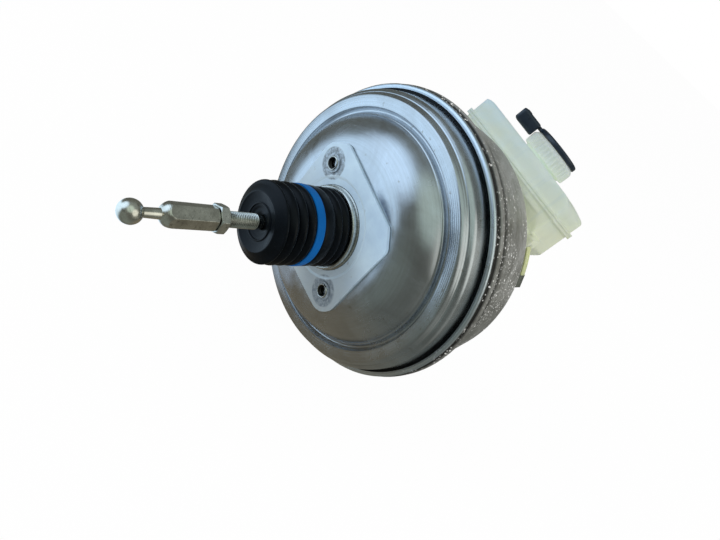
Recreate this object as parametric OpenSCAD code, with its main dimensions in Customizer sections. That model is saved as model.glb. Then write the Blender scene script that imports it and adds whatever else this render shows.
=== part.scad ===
// Vacuum brake booster with master cylinder and fluid reservoir, in millimetres.
// +Y runs along the booster axis from the pedal to the master cylinder, +Z is up.
// The origin is where the axis meets the outer face of the firewall plate.

/* [Vacuum shells] */
// Outer diameter of the crimped flange
flange_d = 252; // [240:1:264]
// Sheet thickness of both shells
shell_t = 1.8; // [1.4:0.1:2.2]
// Distance from the firewall plate to the flange
flange_y = 47.5; // [45:0.5:52]
// Distance from the firewall plate to the master cylinder face
nose_y = 141; // [138:0.5:150]
// Distance from the flange edge in to the crease round the domed rear face
crease_in = 30.1; // [28.5:0.1:33]

/* [Firewall side] */
// Thickness of the firewall plate
plate_t = 2.5; // [2:0.1:4]
// Distance between the two mounting holes
hole_pitch = 103; // [98:0.5:108]
// Outer diameter of the tie bolts
tie_d = 11.6; // [10.6:0.1:12.4]
// Tapping diameter of the threaded ends of the tie bolts
tie_bore_d = 8.5; // [7:0.1:8.8]
// Outer diameter of the neck of the rear shell
neck_d = 54; // [53:0.2:55]
// Diameter of the centring ring round the neck
neck_ring_d = 68.8; // [67:0.2:74]

/* [Push rod] */
// Diameter of the threaded push rod
rod_d = 12; // [10:0.5:13]
// Diameter of the pedal ball
ball_d = 16.8; // [14:0.2:18]
// Width across flats of the adjusting sleeve
sleeve_af = 16; // [15:0.5:18]
// Length of the hexagonal part of the sleeve
sleeve_len = 32; // [28:0.5:40]
// Width across flats of the jam nut
nut_af = 19; // [17:0.5:21]
// Distance from the firewall plate back to the pedal ball centre
ball_y = 165.2; // [160:0.2:172]

/* [Boot] */
// Outer diameter of the bellows
boot_d = 63.2; // [62:0.2:66]
// Distance from the firewall plate to the end of the boot
boot_len = 71; // [70:0.5:76]
// Width of the coloured band
band_w = 7.8; // [5:0.2:8]

/* [Power unit] */
// Outer diameter of the valve body tube
valve_d = 44; // [42:0.2:45]
// Distance from the flange edge in to the edge of the diaphragm plate
dish_in = 24; // [22:0.5:28]
// Full pedal stroke that the inside leaves room for
stroke = 36; // [20:1:36]

/* [Master cylinder] */
// Bore of the master cylinder
mc_bore_d = 23.8; // [20:0.1:26]
// Length of the master cylinder in front of its flange
mc_len = 140; // [134:1:160]
// Outer diameter of the cylinder barrel
mc_barrel_d = 38; // [36:0.5:44]
// Distance between the two reservoir ports
port_pitch = 30; // [29:0.5:32]

/* [Reservoir] */
// Forward tilt of the reservoir from the booster axis normal
tilt = 18; // [14:1:20]
// Width of the tank across the car
tank_w = 130; // [120:1:136]
// Depth of the tank along the car
tank_depth = 80; // [72:1:84]
// Height of the upper half above its seam
tank_h = 21; // [18:0.5:26]
// Wall of the tank
tank_wall = 2.4; // [1.8:0.1:3]
// Outer diameter of the filler cap ring
cap_d = 51.6; // [46:0.2:54]
// Height of the filler cap ring
cap_h = 14; // [11:0.5:18]
// Number of grip ribs on the cap ring
cap_ribs = 36; // [24:1:40]

/* [Hidden] */

$fn = 96;
fit = 0.05;          // running fit or seat, on the radius
gap = 0.3;           // air between pieces that move apart
clear = 1;           // room round a piece that passes through a wall

// Rear shell, from the neck outward
flange_r = flange_d / 2;
plateau_y = plate_t;
dome_w = 35.9;
crease_r = flange_r - crease_in;
plateau_r = crease_r - dome_w;
crease_y = 26.4;
groove_w = 5.6;
groove_y = crease_y + 3.6;
tyre_y = crease_y - 1.2;
tyre_step_r = flange_r - 12.6;
tyre_lines = [22.5, 18.6, 15.4, 13.6];
tyre_line_h = 0.35;
wall_r = flange_r - 8.7;
corner_r = 6;
lip_y = flange_y + 3.6;
rim_r = flange_r - 5.2;
bead_r = flange_r - 3.6;
neck_r = neck_d / 2;
neck_y = -24;
neck_in_r = neck_r - shell_t;

// Front shell, from the flange forward
roll_r = 2.2;
band_y = flange_y + 11.6;
step_r = flange_r - 4;
cone_r0 = flange_r - 5.6;
cone_y0 = band_y + 14;
shoulder_r = 18;
cone_r1 = flange_r - 15;
shoulder_y = nose_y - 26.5;
face_r = 70;
pad_r = 66.5;
strap_r = cone_r1 - 11;
strap_t = 3;
strap_w = 6;
strap_y = nose_y - 5;
mc_hole_r = 23.4;

// Mounting line through both tie bolts
tie_r = tie_d / 2;
hole_turn = 45;
tie_points = [for (side = [-1, 1])
    [-side * hole_pitch / 2 * sin(hole_turn), side * hole_pitch / 2 * cos(hole_turn)]];
collar_r = 8.2;
collar_t = 3;
stud_r = 4;
stud_hole_r = 4.5;
mc_flange_t = 10;
mc_nut_af = 13;
mc_nut_t = 7;

// Push rod, measured backward from the firewall plate
rod_r = rod_d / 2;
ball_r = ball_d / 2;
ball_neck_r = 3.2;
shoulder_len = 8;
ball_neck_len = 11;
sleeve_y = ball_neck_len + shoulder_len + ball_r - ball_y;
nut_t = 7;
thread_y = -70.5;
shank_r = rod_r - 1;
nut_y = sleeve_y + sleeve_len + gap;
hex_turn = 30;

// Control valve inside the valve body
valve_r = valve_d / 2;
valve_in_r = valve_r - 3.2;
valve_back_y = neck_y - stroke + 3;
hub_y = 20;
hub_r = 45;
hub_t = 5;
seat_y = 4;
plunger_r = 9;
socket_y = 16;
socket_ball_r = 5;
reaction_r = 15;
reaction_t = 8;
reaction_y = hub_y + hub_t + 9;

// Diaphragm plate
dish_r = flange_r - dish_in;
dish_t = 1.6;
rubber_t = 1.8;

// Check valve
check_at = [-36, -36];
check_grommet_r = 11;
check_hole_r = 9;
check_r = 6.5;
nipple_r = 5;
nipple_len = 34;

// Master cylinder
mc_r = mc_barrel_d / 2;
bore_r = mc_bore_d / 2;
mc_front_y = nose_y + mc_len;
spigot_r = 22.5;
spigot_len = 30;
port_y0 = nose_y + 24;
port_y = [port_y0, port_y0 + port_pitch];
boss_r = 11;
boss_z = mc_r + 6;
port_r = 5;
port_in_r = 7.5;
outlet_y = [port_y0 + 4, port_y0 + port_pitch + 4];
outlet_r = 5.5;
piston_r = bore_r - fit;
primary_y = nose_y - 22;
primary_len = 58;
secondary_y = primary_y + primary_len + 22;
secondary_len = 42;

// Reservoir, in its own tilted frame: X across, V along, U up
seam_u = 141.5;
tank_x0 = -66;
tank_x1 = tank_x0 + tank_w;
tank_v0 = 101;
tank_v1 = tank_v0 + tank_depth;
tank_r = 9;
corner_in_r = 3.6;
roof_r = 9;
roof_fall = 4;
rim_out = 1.2;
rim_end = 2.2;
rim_h = 2.6;
tray_h = 9;
roof_u = seam_u + tank_h;
sump_u = 92;
cap_x = 4;
cap_v = 140;
sump_y = nose_y + 2.5;
neck_out_r = cap_d / 2 - 4;
neck_hole_r = neck_out_r - 3;
filler_h = 10;
disc_r = cap_d / 2 - 1.8;
disc_h = 5.5;
float_r = 9.5;
cap_u = roof_u + 1.2;

// A turned body about the booster axis from [radius, y] points
module turned(points) rotate([-90, 0, 0]) rotate_extrude() polygon(points);
// A straight cylinder along +Y at a place across the axis
module bar_y(r, y0, y1, at = [0, 0]) translate([at[0], y0, at[1]]) rotate([-90, 0, 0])
    cylinder(r = r, h = y1 - y0);
// A ring about the booster axis, or about a line beside it
module ring_y(r_out, r_in, y0, y1, at = [0, 0]) difference() {
    bar_y(r_out, y0, y1, at);
    bar_y(r_in, y0 - clear, y1 + clear, at);
}
// Children in the plane across the axis, X right and Z up, extruded along +Y
module slab_y(y0, y1) translate([0, y1, 0]) rotate([90, 0, 0]) linear_extrude(y1 - y0) children();
// Points on an arc
function arc(c, r, a0, a1, n = 8) =
    [for (i = [0:n]) c + r * [cos(a0 + (a1 - a0) * i / n), sin(a0 + (a1 - a0) * i / n)]];
// Unit normal on the left of the line from a to b
function left_of(a, b) = [a[1] - b[1], b[0] - a[0]] / norm(b - a);
// A sheet of even thickness beside an open outline
function beside(p, t) = [for (i = [0:len(p) - 1])
    let (
        a = left_of(p[max(i - 1, 0)], p[max(i, 1)]),
        b = left_of(p[min(i, len(p) - 2)], p[min(i + 1, len(p) - 1)]),
        m = (a + b) / norm(a + b)
    ) p[i] + m * t / (m * b)];
function sheet(p, t) = concat(p, [for (q = [len(p) - 1:-1:0]) beside(p, t)[q]]);
// A convex outline drawn tightly round circles given as [x, y, r], counter-clockwise
module round_outline(c) {
    function wrap(i) = c[i % len(c)];
    polygon([for (i = [0:len(c) - 1])
        let (
            a = wrap(i),
            b = wrap(i + 1),
            v = [b[0] - a[0], b[1] - a[1]],
            n = atan2(v[1], v[0]) - 90 + asin((a[2] - b[2]) / norm(v))
        ) each [
            [a[0] + a[2] * cos(n), a[1] + a[2] * sin(n)],
            [b[0] + b[2] * cos(n), b[1] + b[2] * sin(n)]
        ]]);
    for (k = c) translate([k[0], k[1]]) circle(r = k[2]);
}
// A round wire wound along +Y, from radius r0 at y0 to radius r1 at y1
module coil(r0, r1, y0, y1, turns, wire_r) {
    per_turn = 20;
    sides = 8;
    n = turns * per_turn;
    rings = [for (i = [0:n]) let (t = i / n, r = r0 + (r1 - r0) * t, a = 360 * turns * t)
        for (j = [0:sides - 1]) let (
            b = 360 * j / sides,
            q = r + wire_r * cos(b)
        ) [q * cos(a), y0 + wire_r + (y1 - y0 - 2 * wire_r) * t + wire_r * sin(b), q * sin(a)]];
    sidewalls = [for (i = [0:n - 1], j = [0:sides - 1]) let (k = (j + 1) % sides)
        [i * sides + j, (i + 1) * sides + j, (i + 1) * sides + k, i * sides + k]];
    start = [for (j = [0:sides - 1]) j];
    end = [for (j = [sides - 1:-1:0]) n * sides + j];
    polyhedron(rings, concat(sidewalls, [start, end]));
}

// Outside of the rear shell: plateau, dome, crease, groove, rounded tyre, wall and lip
dome_turn = 2 * atan((crease_y - plateau_y) / (crease_r - plateau_r));
dome_r = (crease_r - plateau_r) / sin(dome_turn);
// Height of the tyre at a radius, low near its inner edge and rising outward
function tyre_at(r) = let (t = (r - crease_r - groove_w) / (tyre_step_r - crease_r - groove_w))
    tyre_y + 4 * pow(t - 0.32, 2) / 0.46;
// The inside follows the smooth outline; the outside also has the fine rings and the slot
// that the spinning leaves on the tyre
function rear_outline(marked = false) = concat(
    [[neck_r, neck_y], [neck_r, plateau_y - shell_t], [neck_r + shell_t, plateau_y]],
    arc([plateau_r, plateau_y + dome_r], dome_r, -90, dome_turn - 90, 10),
    [[crease_r + 0.8, crease_y + 2.6], [crease_r + groove_w / 2, groove_y],
        [crease_r + groove_w, crease_y + 1.2]],
    marked
        ? [for (m = tyre_lines) let (r = flange_r - m) each [
            [r - 1.4, tyre_at(r - 1.4)], [r - 0.2, tyre_at(r)],
            [r + 0.2, tyre_at(r) + tyre_line_h]]]
        : [for (i = [0:5]) let (r = crease_r + groove_w + 1.6
            + (tyre_step_r - crease_r - groove_w - 2.4) * i / 5) [r, tyre_at(r)]],
    marked
        ? [[tyre_step_r, crease_y + 3.4], [tyre_step_r + 0.5, crease_y + 5.4],
            [tyre_step_r + 1.1, crease_y + 4.8]]
        : [[tyre_step_r, crease_y + 3.4]],
    arc([wall_r - corner_r, crease_y + 4.2 + corner_r], corner_r, marked ? -46 : -70, 0, 5),
    [[wall_r + 0.5, crease_y + 14.5], [wall_r + 0.5, lip_y - 2], [wall_r + 2.2, lip_y]],
    [[rim_r, lip_y]]
);

module rear_shell() {
    inside = beside(rear_outline(), shell_t);
    last = len(inside) - 1;
    color("#b4b9be") difference() {
        turned(concat(rear_outline(true), [for (i = [last:-1:0]) inside[i]]));
        for (p = tie_points) bar_y(tie_r + fit, -clear, groove_y, p);
    }
}

module firewall_outline() {
    half = hole_pitch / 2;
    side = 58.8;
    side_r = 6;
    rotate(hole_turn) round_outline([
        [side, -11.7, side_r], [side, 1.6, side_r], [10.3, half + 5.6, 10], [0, half, 16.6],
        [-side, 11.3, side_r], [-side, -8.4, side_r], [0, -half, 17]
    ]);
}

// Plate with a sunk field round the neck, a shallow dish and a raised rim round each hole
module firewall_plate() {
    field_r = 40;
    field_t = 0.7;
    field_slope = 2;
    dish_out = 13;
    dish_floor = 8.4;
    dish_depth = 0.45;
    rim_ring_r = 7.7;
    rim_ring_t = 0.7;
    color("#dfe6ea") difference() {
        union() {
            difference() {
                slab_y(0, plate_t) firewall_outline();
                for (p = tie_points) translate([p[0], 0, p[1]]) turned([
                    [0, -clear], [dish_out, -clear], [dish_out, 0], [dish_floor, dish_depth],
                    [0, dish_depth]
                ]);
            }
            for (p = tie_points) bar_y(rim_ring_r, -rim_ring_t, plate_t, p);
        }
        turned([[0, -clear], [field_r + field_slope, -clear], [field_r + field_slope, 0],
            [field_r, field_t], [0, field_t]]);
        bar_y(neck_ring_d / 2 + gap, -clear, plate_t + clear);
        for (p = tie_points) bar_y(tie_r + fit, -clear, plate_t + clear, p);
    }
}

module neck_ring() {
    out = neck_ring_d / 2;
    groove = 1.6;
    land = 2.2;
    front = -5;
    color("#a6a8a8") turned([
        [neck_r + shell_t + fit, plateau_y], [out, plateau_y], [out, plateau_y - land],
        [out - groove, plateau_y - land - 0.8], [out - groove, plateau_y - land - 2],
        [out - 0.6, plateau_y - land - 2.6], [out - 0.6, front + 0.8], [out - 1.4, front],
        [neck_r + fit, front], [neck_r + fit, plateau_y - shell_t - fit]
    ]);
}

module tie_bolts() {
    proud = 1.6;
    blind = 24;
    chamfer = 0.6;
    collar_y = plateau_y + shell_t;
    stud_y = nose_y + mc_flange_t + mc_nut_t + 7;
    color("#c9c3b0") for (p = tie_points) difference() {
        union() {
            bar_y(tie_r, -proud, nose_y - shell_t, p);
            bar_y(collar_r, collar_y, collar_y + collar_t, p);
            bar_y(collar_r, nose_y - shell_t - collar_t, nose_y - shell_t, p);
            bar_y(stud_r, nose_y - shell_t - clear, stud_y, p);
        }
        bar_y(tie_bore_d / 2, -proud - clear, blind, p);
        translate([p[0], -proud - 0.01, p[1]]) rotate([-90, 0, 0])
            cylinder(r1 = tie_bore_d / 2 + chamfer, r2 = tie_bore_d / 2, h = chamfer);
    }
}

// Outside of the front shell: rolled flange, band, step, cone, shoulder, face and pad
function front_outline() = concat(
    [[flange_r - 5, flange_y + 0.4]],
    arc([flange_r - roll_r - 1, flange_y + roll_r], roll_r, -100, 0, 6),
    [[flange_r - 1.6, flange_y + 4.6], [flange_r - 1.6, flange_y + 6.4],
        [flange_r, flange_y + 8.4], [flange_r, band_y]],
    arc([flange_r - 1.6, band_y], 1.6, 15, 75, 3),
    [[step_r, band_y + 2.6], [step_r, band_y + 8], [step_r - 0.8, band_y + 9.6]],
    [[cone_r0, cone_y0]],
    arc([cone_r1 - shoulder_r, shoulder_y], shoulder_r, 10, 84, 9),
    [[face_r + 4, nose_y - 5.4], [face_r, nose_y - 3.6], [pad_r + 1, nose_y - 0.6],
        [pad_r, nose_y], [mc_hole_r, nose_y]]
);

module front_shell() {
    color("#94938e") difference() {
        turned(sheet(front_outline(), shell_t));
        for (p = tie_points) bar_y(stud_r + fit, shoulder_y, nose_y + clear, p);
        bar_y(check_hole_r, shoulder_y, nose_y + clear, check_at);
    }
}

module guide_bearing() {
    flange_t = 2;
    long = 6;
    color("#e4ddc8") difference() {
        union() {
            bar_y(neck_in_r - fit, neck_y - flange_t, neck_y + long);
            bar_y(neck_r, neck_y - flange_t, neck_y - 0.02);
        }
        bar_y(valve_r + fit, neck_y - flange_t - clear, neck_y + long + clear);
    }
}

module guide_seal() {
    lip = 1.6;
    color("#202225") turned([
        [neck_in_r - fit, neck_y + 6.2], [neck_in_r - fit, neck_y + 16],
        [valve_r + lip, neck_y + 16], [valve_r + fit, neck_y + 14.5],
        [valve_r + fit, neck_y + 12.5], [valve_r + lip, neck_y + 11],
        [valve_r + lip, neck_y + 6.2]
    ]);
}

// The support plate follows the inside of the rear shell at rest
function dish_outline() = concat(
    [[valve_r + fit, hub_y + hub_t], [hub_r + 3, hub_y + hub_t]],
    arc([hub_r + 3, hub_y + hub_t + 20], 20, -80, -42, 5),
    [[dish_r - 12, groove_y + 6.4], [dish_r - 3, groove_y + 6.4], [dish_r, groove_y + 9],
        [dish_r, groove_y + 13]]
);

module diaphragm_plate() {
    color("#c8b560") difference() {
        turned(sheet(dish_outline(), dish_t));
        for (p = tie_points) bar_y(tie_r + 3, 0, nose_y, p);
    }
}

// The rubber lies on the pedal side of its plate, rolls over at the rim and is clamped
// between both shells by a bead that wraps the lip of the rear shell
module diaphragm() {
    back = rubber_t + 0.02;
    bead_y = lip_y + shell_t + fit;
    leg_r = dish_r + back;
    roll = (wall_r - shell_t - 0.4 - leg_r) / 2;
    skin = concat(
        beside(dish_outline(), -back),
        arc([leg_r + roll, bead_y + 1.2], roll, 180, 0, 10)
    );
    color("#25262a") union() {
        difference() {
            turned(sheet(skin, rubber_t));
            for (p = tie_points) bar_y(tie_r + 3, 0, nose_y, p);
        }
        turned([
            [wall_r - shell_t - 1, bead_y], [rim_r + fit, bead_y],
            [rim_r + fit, lip_y - fit], [wall_r + 2.4, lip_y - fit],
            [wall_r + 1.3, lip_y - 1.2], [bead_r, lip_y - 1.2], [bead_r, bead_y + 2.6],
            [wall_r - shell_t - 1, bead_y + 2.6]
        ]);
    }
}

// Rear tube, hub that carries the plate, valve seat and the seat of the reaction disc
module valve_body() {
    hub_front = hub_y + hub_t;
    hub_back = hub_front - rubber_t - 0.04;
    nose_out = reaction_r + 4;
    nose_front = reaction_y + reaction_t;
    bridge_r = plunger_r + 4;
    vent_n = 6;
    vent_r = 2.4;
    color("#3a3d40") difference() {
        turned([
            [valve_in_r, valve_back_y], [valve_r, valve_back_y], [valve_r, hub_y - 2],
            [valve_r + 2, hub_y], [hub_r, hub_y], [hub_r, hub_back],
            [valve_r, hub_back], [valve_r, hub_front + dish_t + 3],
            [nose_out, nose_front], [reaction_r + fit, nose_front],
            [reaction_r + fit, reaction_y], [plunger_r + fit, reaction_y],
            [plunger_r + fit, seat_y + 3], [bridge_r, seat_y], [bridge_r + 2, seat_y + 2],
            [valve_in_r, seat_y + 2]
        ]);
        for (i = [0:vent_n - 1]) rotate([0, 30 + 60 * i, 0])
            bar_y(vent_r, seat_y + 1, nose_front, [valve_in_r - 3, 0]);
        translate([-valve_r - clear, hub_y - 11, -3]) cube([valve_r, 6, 6]);
    }
}

module tie_seals() {
    long = 12;
    y0 = hub_y + hub_t + 3;
    color("#1d1e21") for (p = tie_points) union() {
        ring_y(tie_r + 2.98, tie_r + fit, y0, y0 + long, p);
        ring_y(tie_r + 6, tie_r + fit, y0 + long - 0.5, y0 + long + 2, p);
    }
}

module stop_key() {
    color("#8e9196") translate([-valve_r + 1, hub_y - 10, -2.6])
        cube([valve_r - plunger_r - 1.4, 4, 5.2]);
}

module air_filter() {
    color("#4a4a44") ring_y(valve_in_r - fit, rod_r + 6, valve_back_y + 1, valve_back_y + 9);
}

module silencer() {
    color("#8b8a80") ring_y(valve_in_r - fit, rod_r + 6, valve_back_y + 9.1, valve_back_y + 13);
}

module reaction_disc() {
    color("#17181a") bar_y(reaction_r - fit, reaction_y + 0.02, reaction_y + reaction_t - 2);
}

module output_rod() {
    head_y = reaction_y + reaction_t - 2 + 0.02;
    stem_r = 6;
    tip_y = primary_y + 12;
    color("#b9bcc0") union() {
        bar_y(reaction_r - fit, head_y, head_y + 4);
        bar_y(stem_r, head_y + 3, primary_y - 8);
        bar_y(4.5, primary_y - 9, tip_y - 0.1);
    }
}

module return_spring() {
    color("#7f858c") coil(hub_r - 6, spigot_r + 9, hub_y + hub_t + dish_t + 0.1,
        nose_y - shell_t - 0.1, 6, 2.1);
}

module poppet_valve() {
    back_y = valve_back_y + 30;
    color("#1f2123") turned([
        [valve_in_r - fit, back_y], [valve_in_r - fit, back_y + 6], [valve_in_r - 3, back_y + 6],
        [plunger_r + 6, back_y + 12], [plunger_r + 6, seat_y - 3.2], [plunger_r + 5, seat_y - 0.1],
        [plunger_r - 1, seat_y - 0.1], [plunger_r - 1, seat_y - 3.2],
        [plunger_r + 4, seat_y - 3.2], [plunger_r + 4, back_y + 11], [valve_in_r - 4.2, back_y + 4],
        [valve_in_r - 4.2, back_y]
    ]);
}

module poppet_spring() {
    color("#9aa0a6") coil(plunger_r + 2.2, plunger_r + 2.2, valve_back_y + 33,
        seat_y - 3.3, 5, 0.6);
}

module poppet_retainer() {
    y0 = valve_back_y + 27.8;
    color("#b6aa86") turned([
        [rod_r + 4, y0], [valve_in_r - fit, y0], [valve_in_r - fit, y0 + 2.1],
        [rod_r + 6, y0 + 2.1], [rod_r + 6, y0 + 4.5], [rod_r + 4, y0 + 4.5]
    ]);
}

module valve_plunger() {
    socket_r = socket_ball_r + fit;
    color("#a9adb2") difference() {
        turned([
            [0, seat_y - 1.6], [plunger_r - 2, seat_y - 1.6], [plunger_r - 2, seat_y + 3.4],
            [plunger_r, seat_y + 3.4], [plunger_r, reaction_y - 1.4],
            [0, reaction_y - 1.4]
        ]);
        translate([0, socket_y, 0]) sphere(r = socket_r);
        bar_y(socket_r, seat_y - 2, socket_y);
    }
}

module rod_spring() {
    color("#9aa0a6") coil(rod_r + 2.4, plunger_r - 3.2, valve_back_y + 32.5, seat_y - 1.8, 5, 0.6);
}

// Threaded end with a rounded run-out, plain shank through the boot, thin stem and ball
module input_rod() {
    tail_y = nut_y - 12;
    thin_y = valve_back_y + 16;
    stem_r = 3.6;
    round_off = 1.4;
    color("#c3c0b4") union() {
        turned([
            [0, tail_y], [rod_r - 1, tail_y], [rod_r, tail_y + 1], [rod_r, thread_y - round_off],
            [rod_r - 0.4, thread_y - 0.4], [shank_r, thread_y], [shank_r, thin_y - 1.4],
            [stem_r, thin_y], [stem_r, socket_y], [0, socket_y]
        ]);
        translate([0, socket_y, 0]) sphere(r = socket_ball_r);
    }
}

module hexagon(af) circle(r = af / 2 / cos(hex_turn), $fn = 6);

module jam_nut() {
    face_r = nut_af / 2 + 0.1;
    cone = 1.2;
    color("#c3c0b4") difference() {
        intersection() {
            slab_y(nut_y, nut_y + nut_t) rotate(hex_turn) hexagon(nut_af);
            turned([
                [0, nut_y], [face_r, nut_y], [face_r + cone * 1.6, nut_y + cone],
                [face_r + cone * 1.6, nut_y + nut_t - cone], [face_r, nut_y + nut_t],
                [0, nut_y + nut_t]
            ]);
        }
        bar_y(rod_r + fit, nut_y - clear, nut_y + nut_t + clear);
    }
}

// Ball, slim neck and hexagonal bar turned round at its shoulder, with a blind thread
module ball_sleeve() {
    end_y = sleeve_y + sleeve_len;
    back_y = sleeve_y - shoulder_len;
    flat_r = sleeve_af / 2;
    corner_out = flat_r / cos(hex_turn) + 0.1;
    blind = 22;
    chamfer = 1;
    a0 = -62;
    a1 = -8;
    turn_r = shoulder_len / (sin(a1) - sin(a0));
    color("#cbc9bd") difference() {
        union() {
            translate([0, -ball_y, 0]) sphere(r = ball_r);
            turned([[0, -ball_y], [ball_neck_r, -ball_y], [ball_neck_r + 0.6, back_y + 0.5],
                [0, back_y + 0.5]]);
            intersection() {
                slab_y(back_y, end_y) rotate(hex_turn) hexagon(sleeve_af);
                turned(concat(
                    [[0, back_y]],
                    arc([corner_out - turn_r * cos(a1), sleeve_y - turn_r * sin(a1)],
                        turn_r, a0, a1, 8),
                    [[corner_out, sleeve_y + 1], [corner_out, end_y - chamfer],
                        [flat_r, end_y], [0, end_y]]
                ));
            }
        }
        bar_y(rod_r + fit, end_y - blind, end_y + clear);
    }
}

// Bellows: broad lobes that fall off sharply at the front, a band seat in the middle and a
// chamfered end with a bead round the rod
boot_r = boot_d / 2;
boot_valley_r = boot_r - 4.4;
boot_root_r = neck_r + 1.7;
band_y0 = -39;
seat_r = boot_r - 0.9;
boot_front = -5.6;
lobes_back = [-54, -45.8];
lobes_front = [-18.6, -12];
function lobe(y0, y1, low) = [for (i = [0:8]) let (t = i / 8)
    [low + (boot_r - low) * pow(sin(180 * pow(t, 1.4)), 0.6), y0 + (y1 - y0) * t]];

module boot() {
    tube_t = 1.5;
    mouth_r = 12.4;
    bead_top_r = 14;
    lip_r = shank_r + 0.4;
    back = -boot_len;
    back_valley = back + 7.3;
    wall_end = back + 9;
    band_end = band_y0 + band_w;
    inner_r = neck_r + 0.02;
    hollow_r = boot_valley_r - tube_t;
    outside = concat(
        [[mouth_r, back + 2.8], [bead_top_r - 0.7, back + 1.8], [bead_top_r, back + 1.8],
            [bead_top_r + 0.7, back + 2.4], [boot_r - 9.4, back], [boot_r - 8.4, back + 0.2],
            [boot_r - 1.2, back + 4.6], [boot_r - 0.4, back + 5.6], [boot_r - 1, back + 6.5]],
        lobe(back_valley, lobes_back[0], boot_valley_r),
        lobe(lobes_back[0], lobes_back[1], boot_valley_r),
        [[boot_valley_r, lobes_back[1] + 0.3], [boot_r - 1.2, lobes_back[1] + 1.8],
            [boot_r - 0.3, lobes_back[1] + 3.6], [boot_r - 0.3, band_y0 - 0.8],
            [seat_r, band_y0], [seat_r, band_end], [boot_r - 0.4, band_end + 0.6],
            [boot_r, band_end + 4.6], [boot_r - 0.8, band_end + 8.6]],
        [[boot_root_r, lobes_front[0] - 0.3]],
        lobe(lobes_front[0], lobes_front[1], boot_root_r),
        [[boot_root_r, lobes_front[1] + 0.3], [boot_r - 0.6, lobes_front[1] + 1.6],
            [boot_r, boot_front - 2.2], [boot_r - 0.8, boot_front]]
    );
    color("#141518") turned(concat(outside, [
        [inner_r, boot_front], [inner_r, neck_y - 2.1], [hollow_r, neck_y - 2.3],
        [hollow_r, wall_end], [lip_r + 3, wall_end], [lip_r, wall_end - 1],
        [lip_r, back + 4.2], [mouth_r - 2, back + 4]
    ]));
}

module boot_band() {
    color("#0b62b4") turned([
        [seat_r + 0.02, band_y0 + 0.1], [boot_r + 0.1, band_y0 + 0.3],
        [boot_r + 0.3, band_y0 + band_w / 2], [boot_r + 0.1, band_y0 + band_w - 0.3],
        [seat_r + 0.02, band_y0 + band_w - 0.1]
    ]);
}

module beside_axis(at, turn) translate([at[0], 0, at[1]]) rotate([0, turn, 0]) children();

module check_grommet() {
    color("#1b1c1f") difference() {
        union() {
            bar_y(check_grommet_r, nose_y + 0.02, nose_y + 4, check_at);
            bar_y(check_hole_r - 0.02, nose_y - shell_t - 1, nose_y + 1, check_at);
            bar_y(check_grommet_r - 0.6, nose_y - shell_t - 4, nose_y - shell_t - 0.02, check_at);
        }
        bar_y(check_r + fit, nose_y - 10, nose_y + 10, check_at);
    }
}

// Moulded elbow: the nipple leaves sideways, away from the master cylinder
module check_valve() {
    back_y = nose_y - shell_t - 7;
    cap_y = nose_y + 24;
    nipple_y = nose_y + 17;
    cavity_r = check_r - 1.8;
    tube_in_r = nipple_r - 1.8;
    color("#17191c") difference() {
        union() {
            bar_y(check_r, back_y, cap_y - 2, check_at);
            bar_y(check_r + 3, nose_y + 4.3, nose_y + 7, check_at);
            bar_y(check_r + 1.4, nose_y + 6, cap_y, check_at);
            beside_axis(check_at, 135) translate([0, nipple_y, 0]) rotate([0, 90, 0])
                rotate_extrude() polygon([
                    [0, 0], [nipple_r, 0], [nipple_r, nipple_len - 12],
                    [nipple_r + 1, nipple_len - 10], [nipple_r + 1, nipple_len - 9],
                    [nipple_r, nipple_len - 6], [nipple_r - 0.8, nipple_len], [0, nipple_len]
                ]);
        }
        bar_y(cavity_r, back_y + 3, cap_y - 2, check_at);
        bar_y(cavity_r - 2.2, back_y - clear, back_y + 4, check_at);
        beside_axis(check_at, 135) translate([0, nipple_y, 0]) rotate([0, 90, 0])
            cylinder(r = tube_in_r, h = nipple_len + clear);
    }
}

module check_disc() {
    y0 = nose_y - shell_t - 4 + 0.05;
    color("#2a2c30") bar_y(check_r - 1.8 - gap, y0, y0 + 1.6, check_at);
}

module check_spring() {
    y0 = nose_y - shell_t - 4 + 1.75;
    color("#9aa0a6") translate([check_at[0], 0, check_at[1]])
        coil(3.2, 3.2, y0, nose_y + 11, 4, 0.4);
}

module mc_seal() {
    color("#1b1c1f") ring_y(spigot_r + 3, spigot_r + 0.02, nose_y - shell_t - 4.6,
        nose_y - shell_t - 0.02);
}

module flange_outline() {
    round_outline([[0, hole_pitch / 2, 12], [-6, 0, 25], [0, -hole_pitch / 2, 12], [6, 0, 25]]);
}

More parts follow.
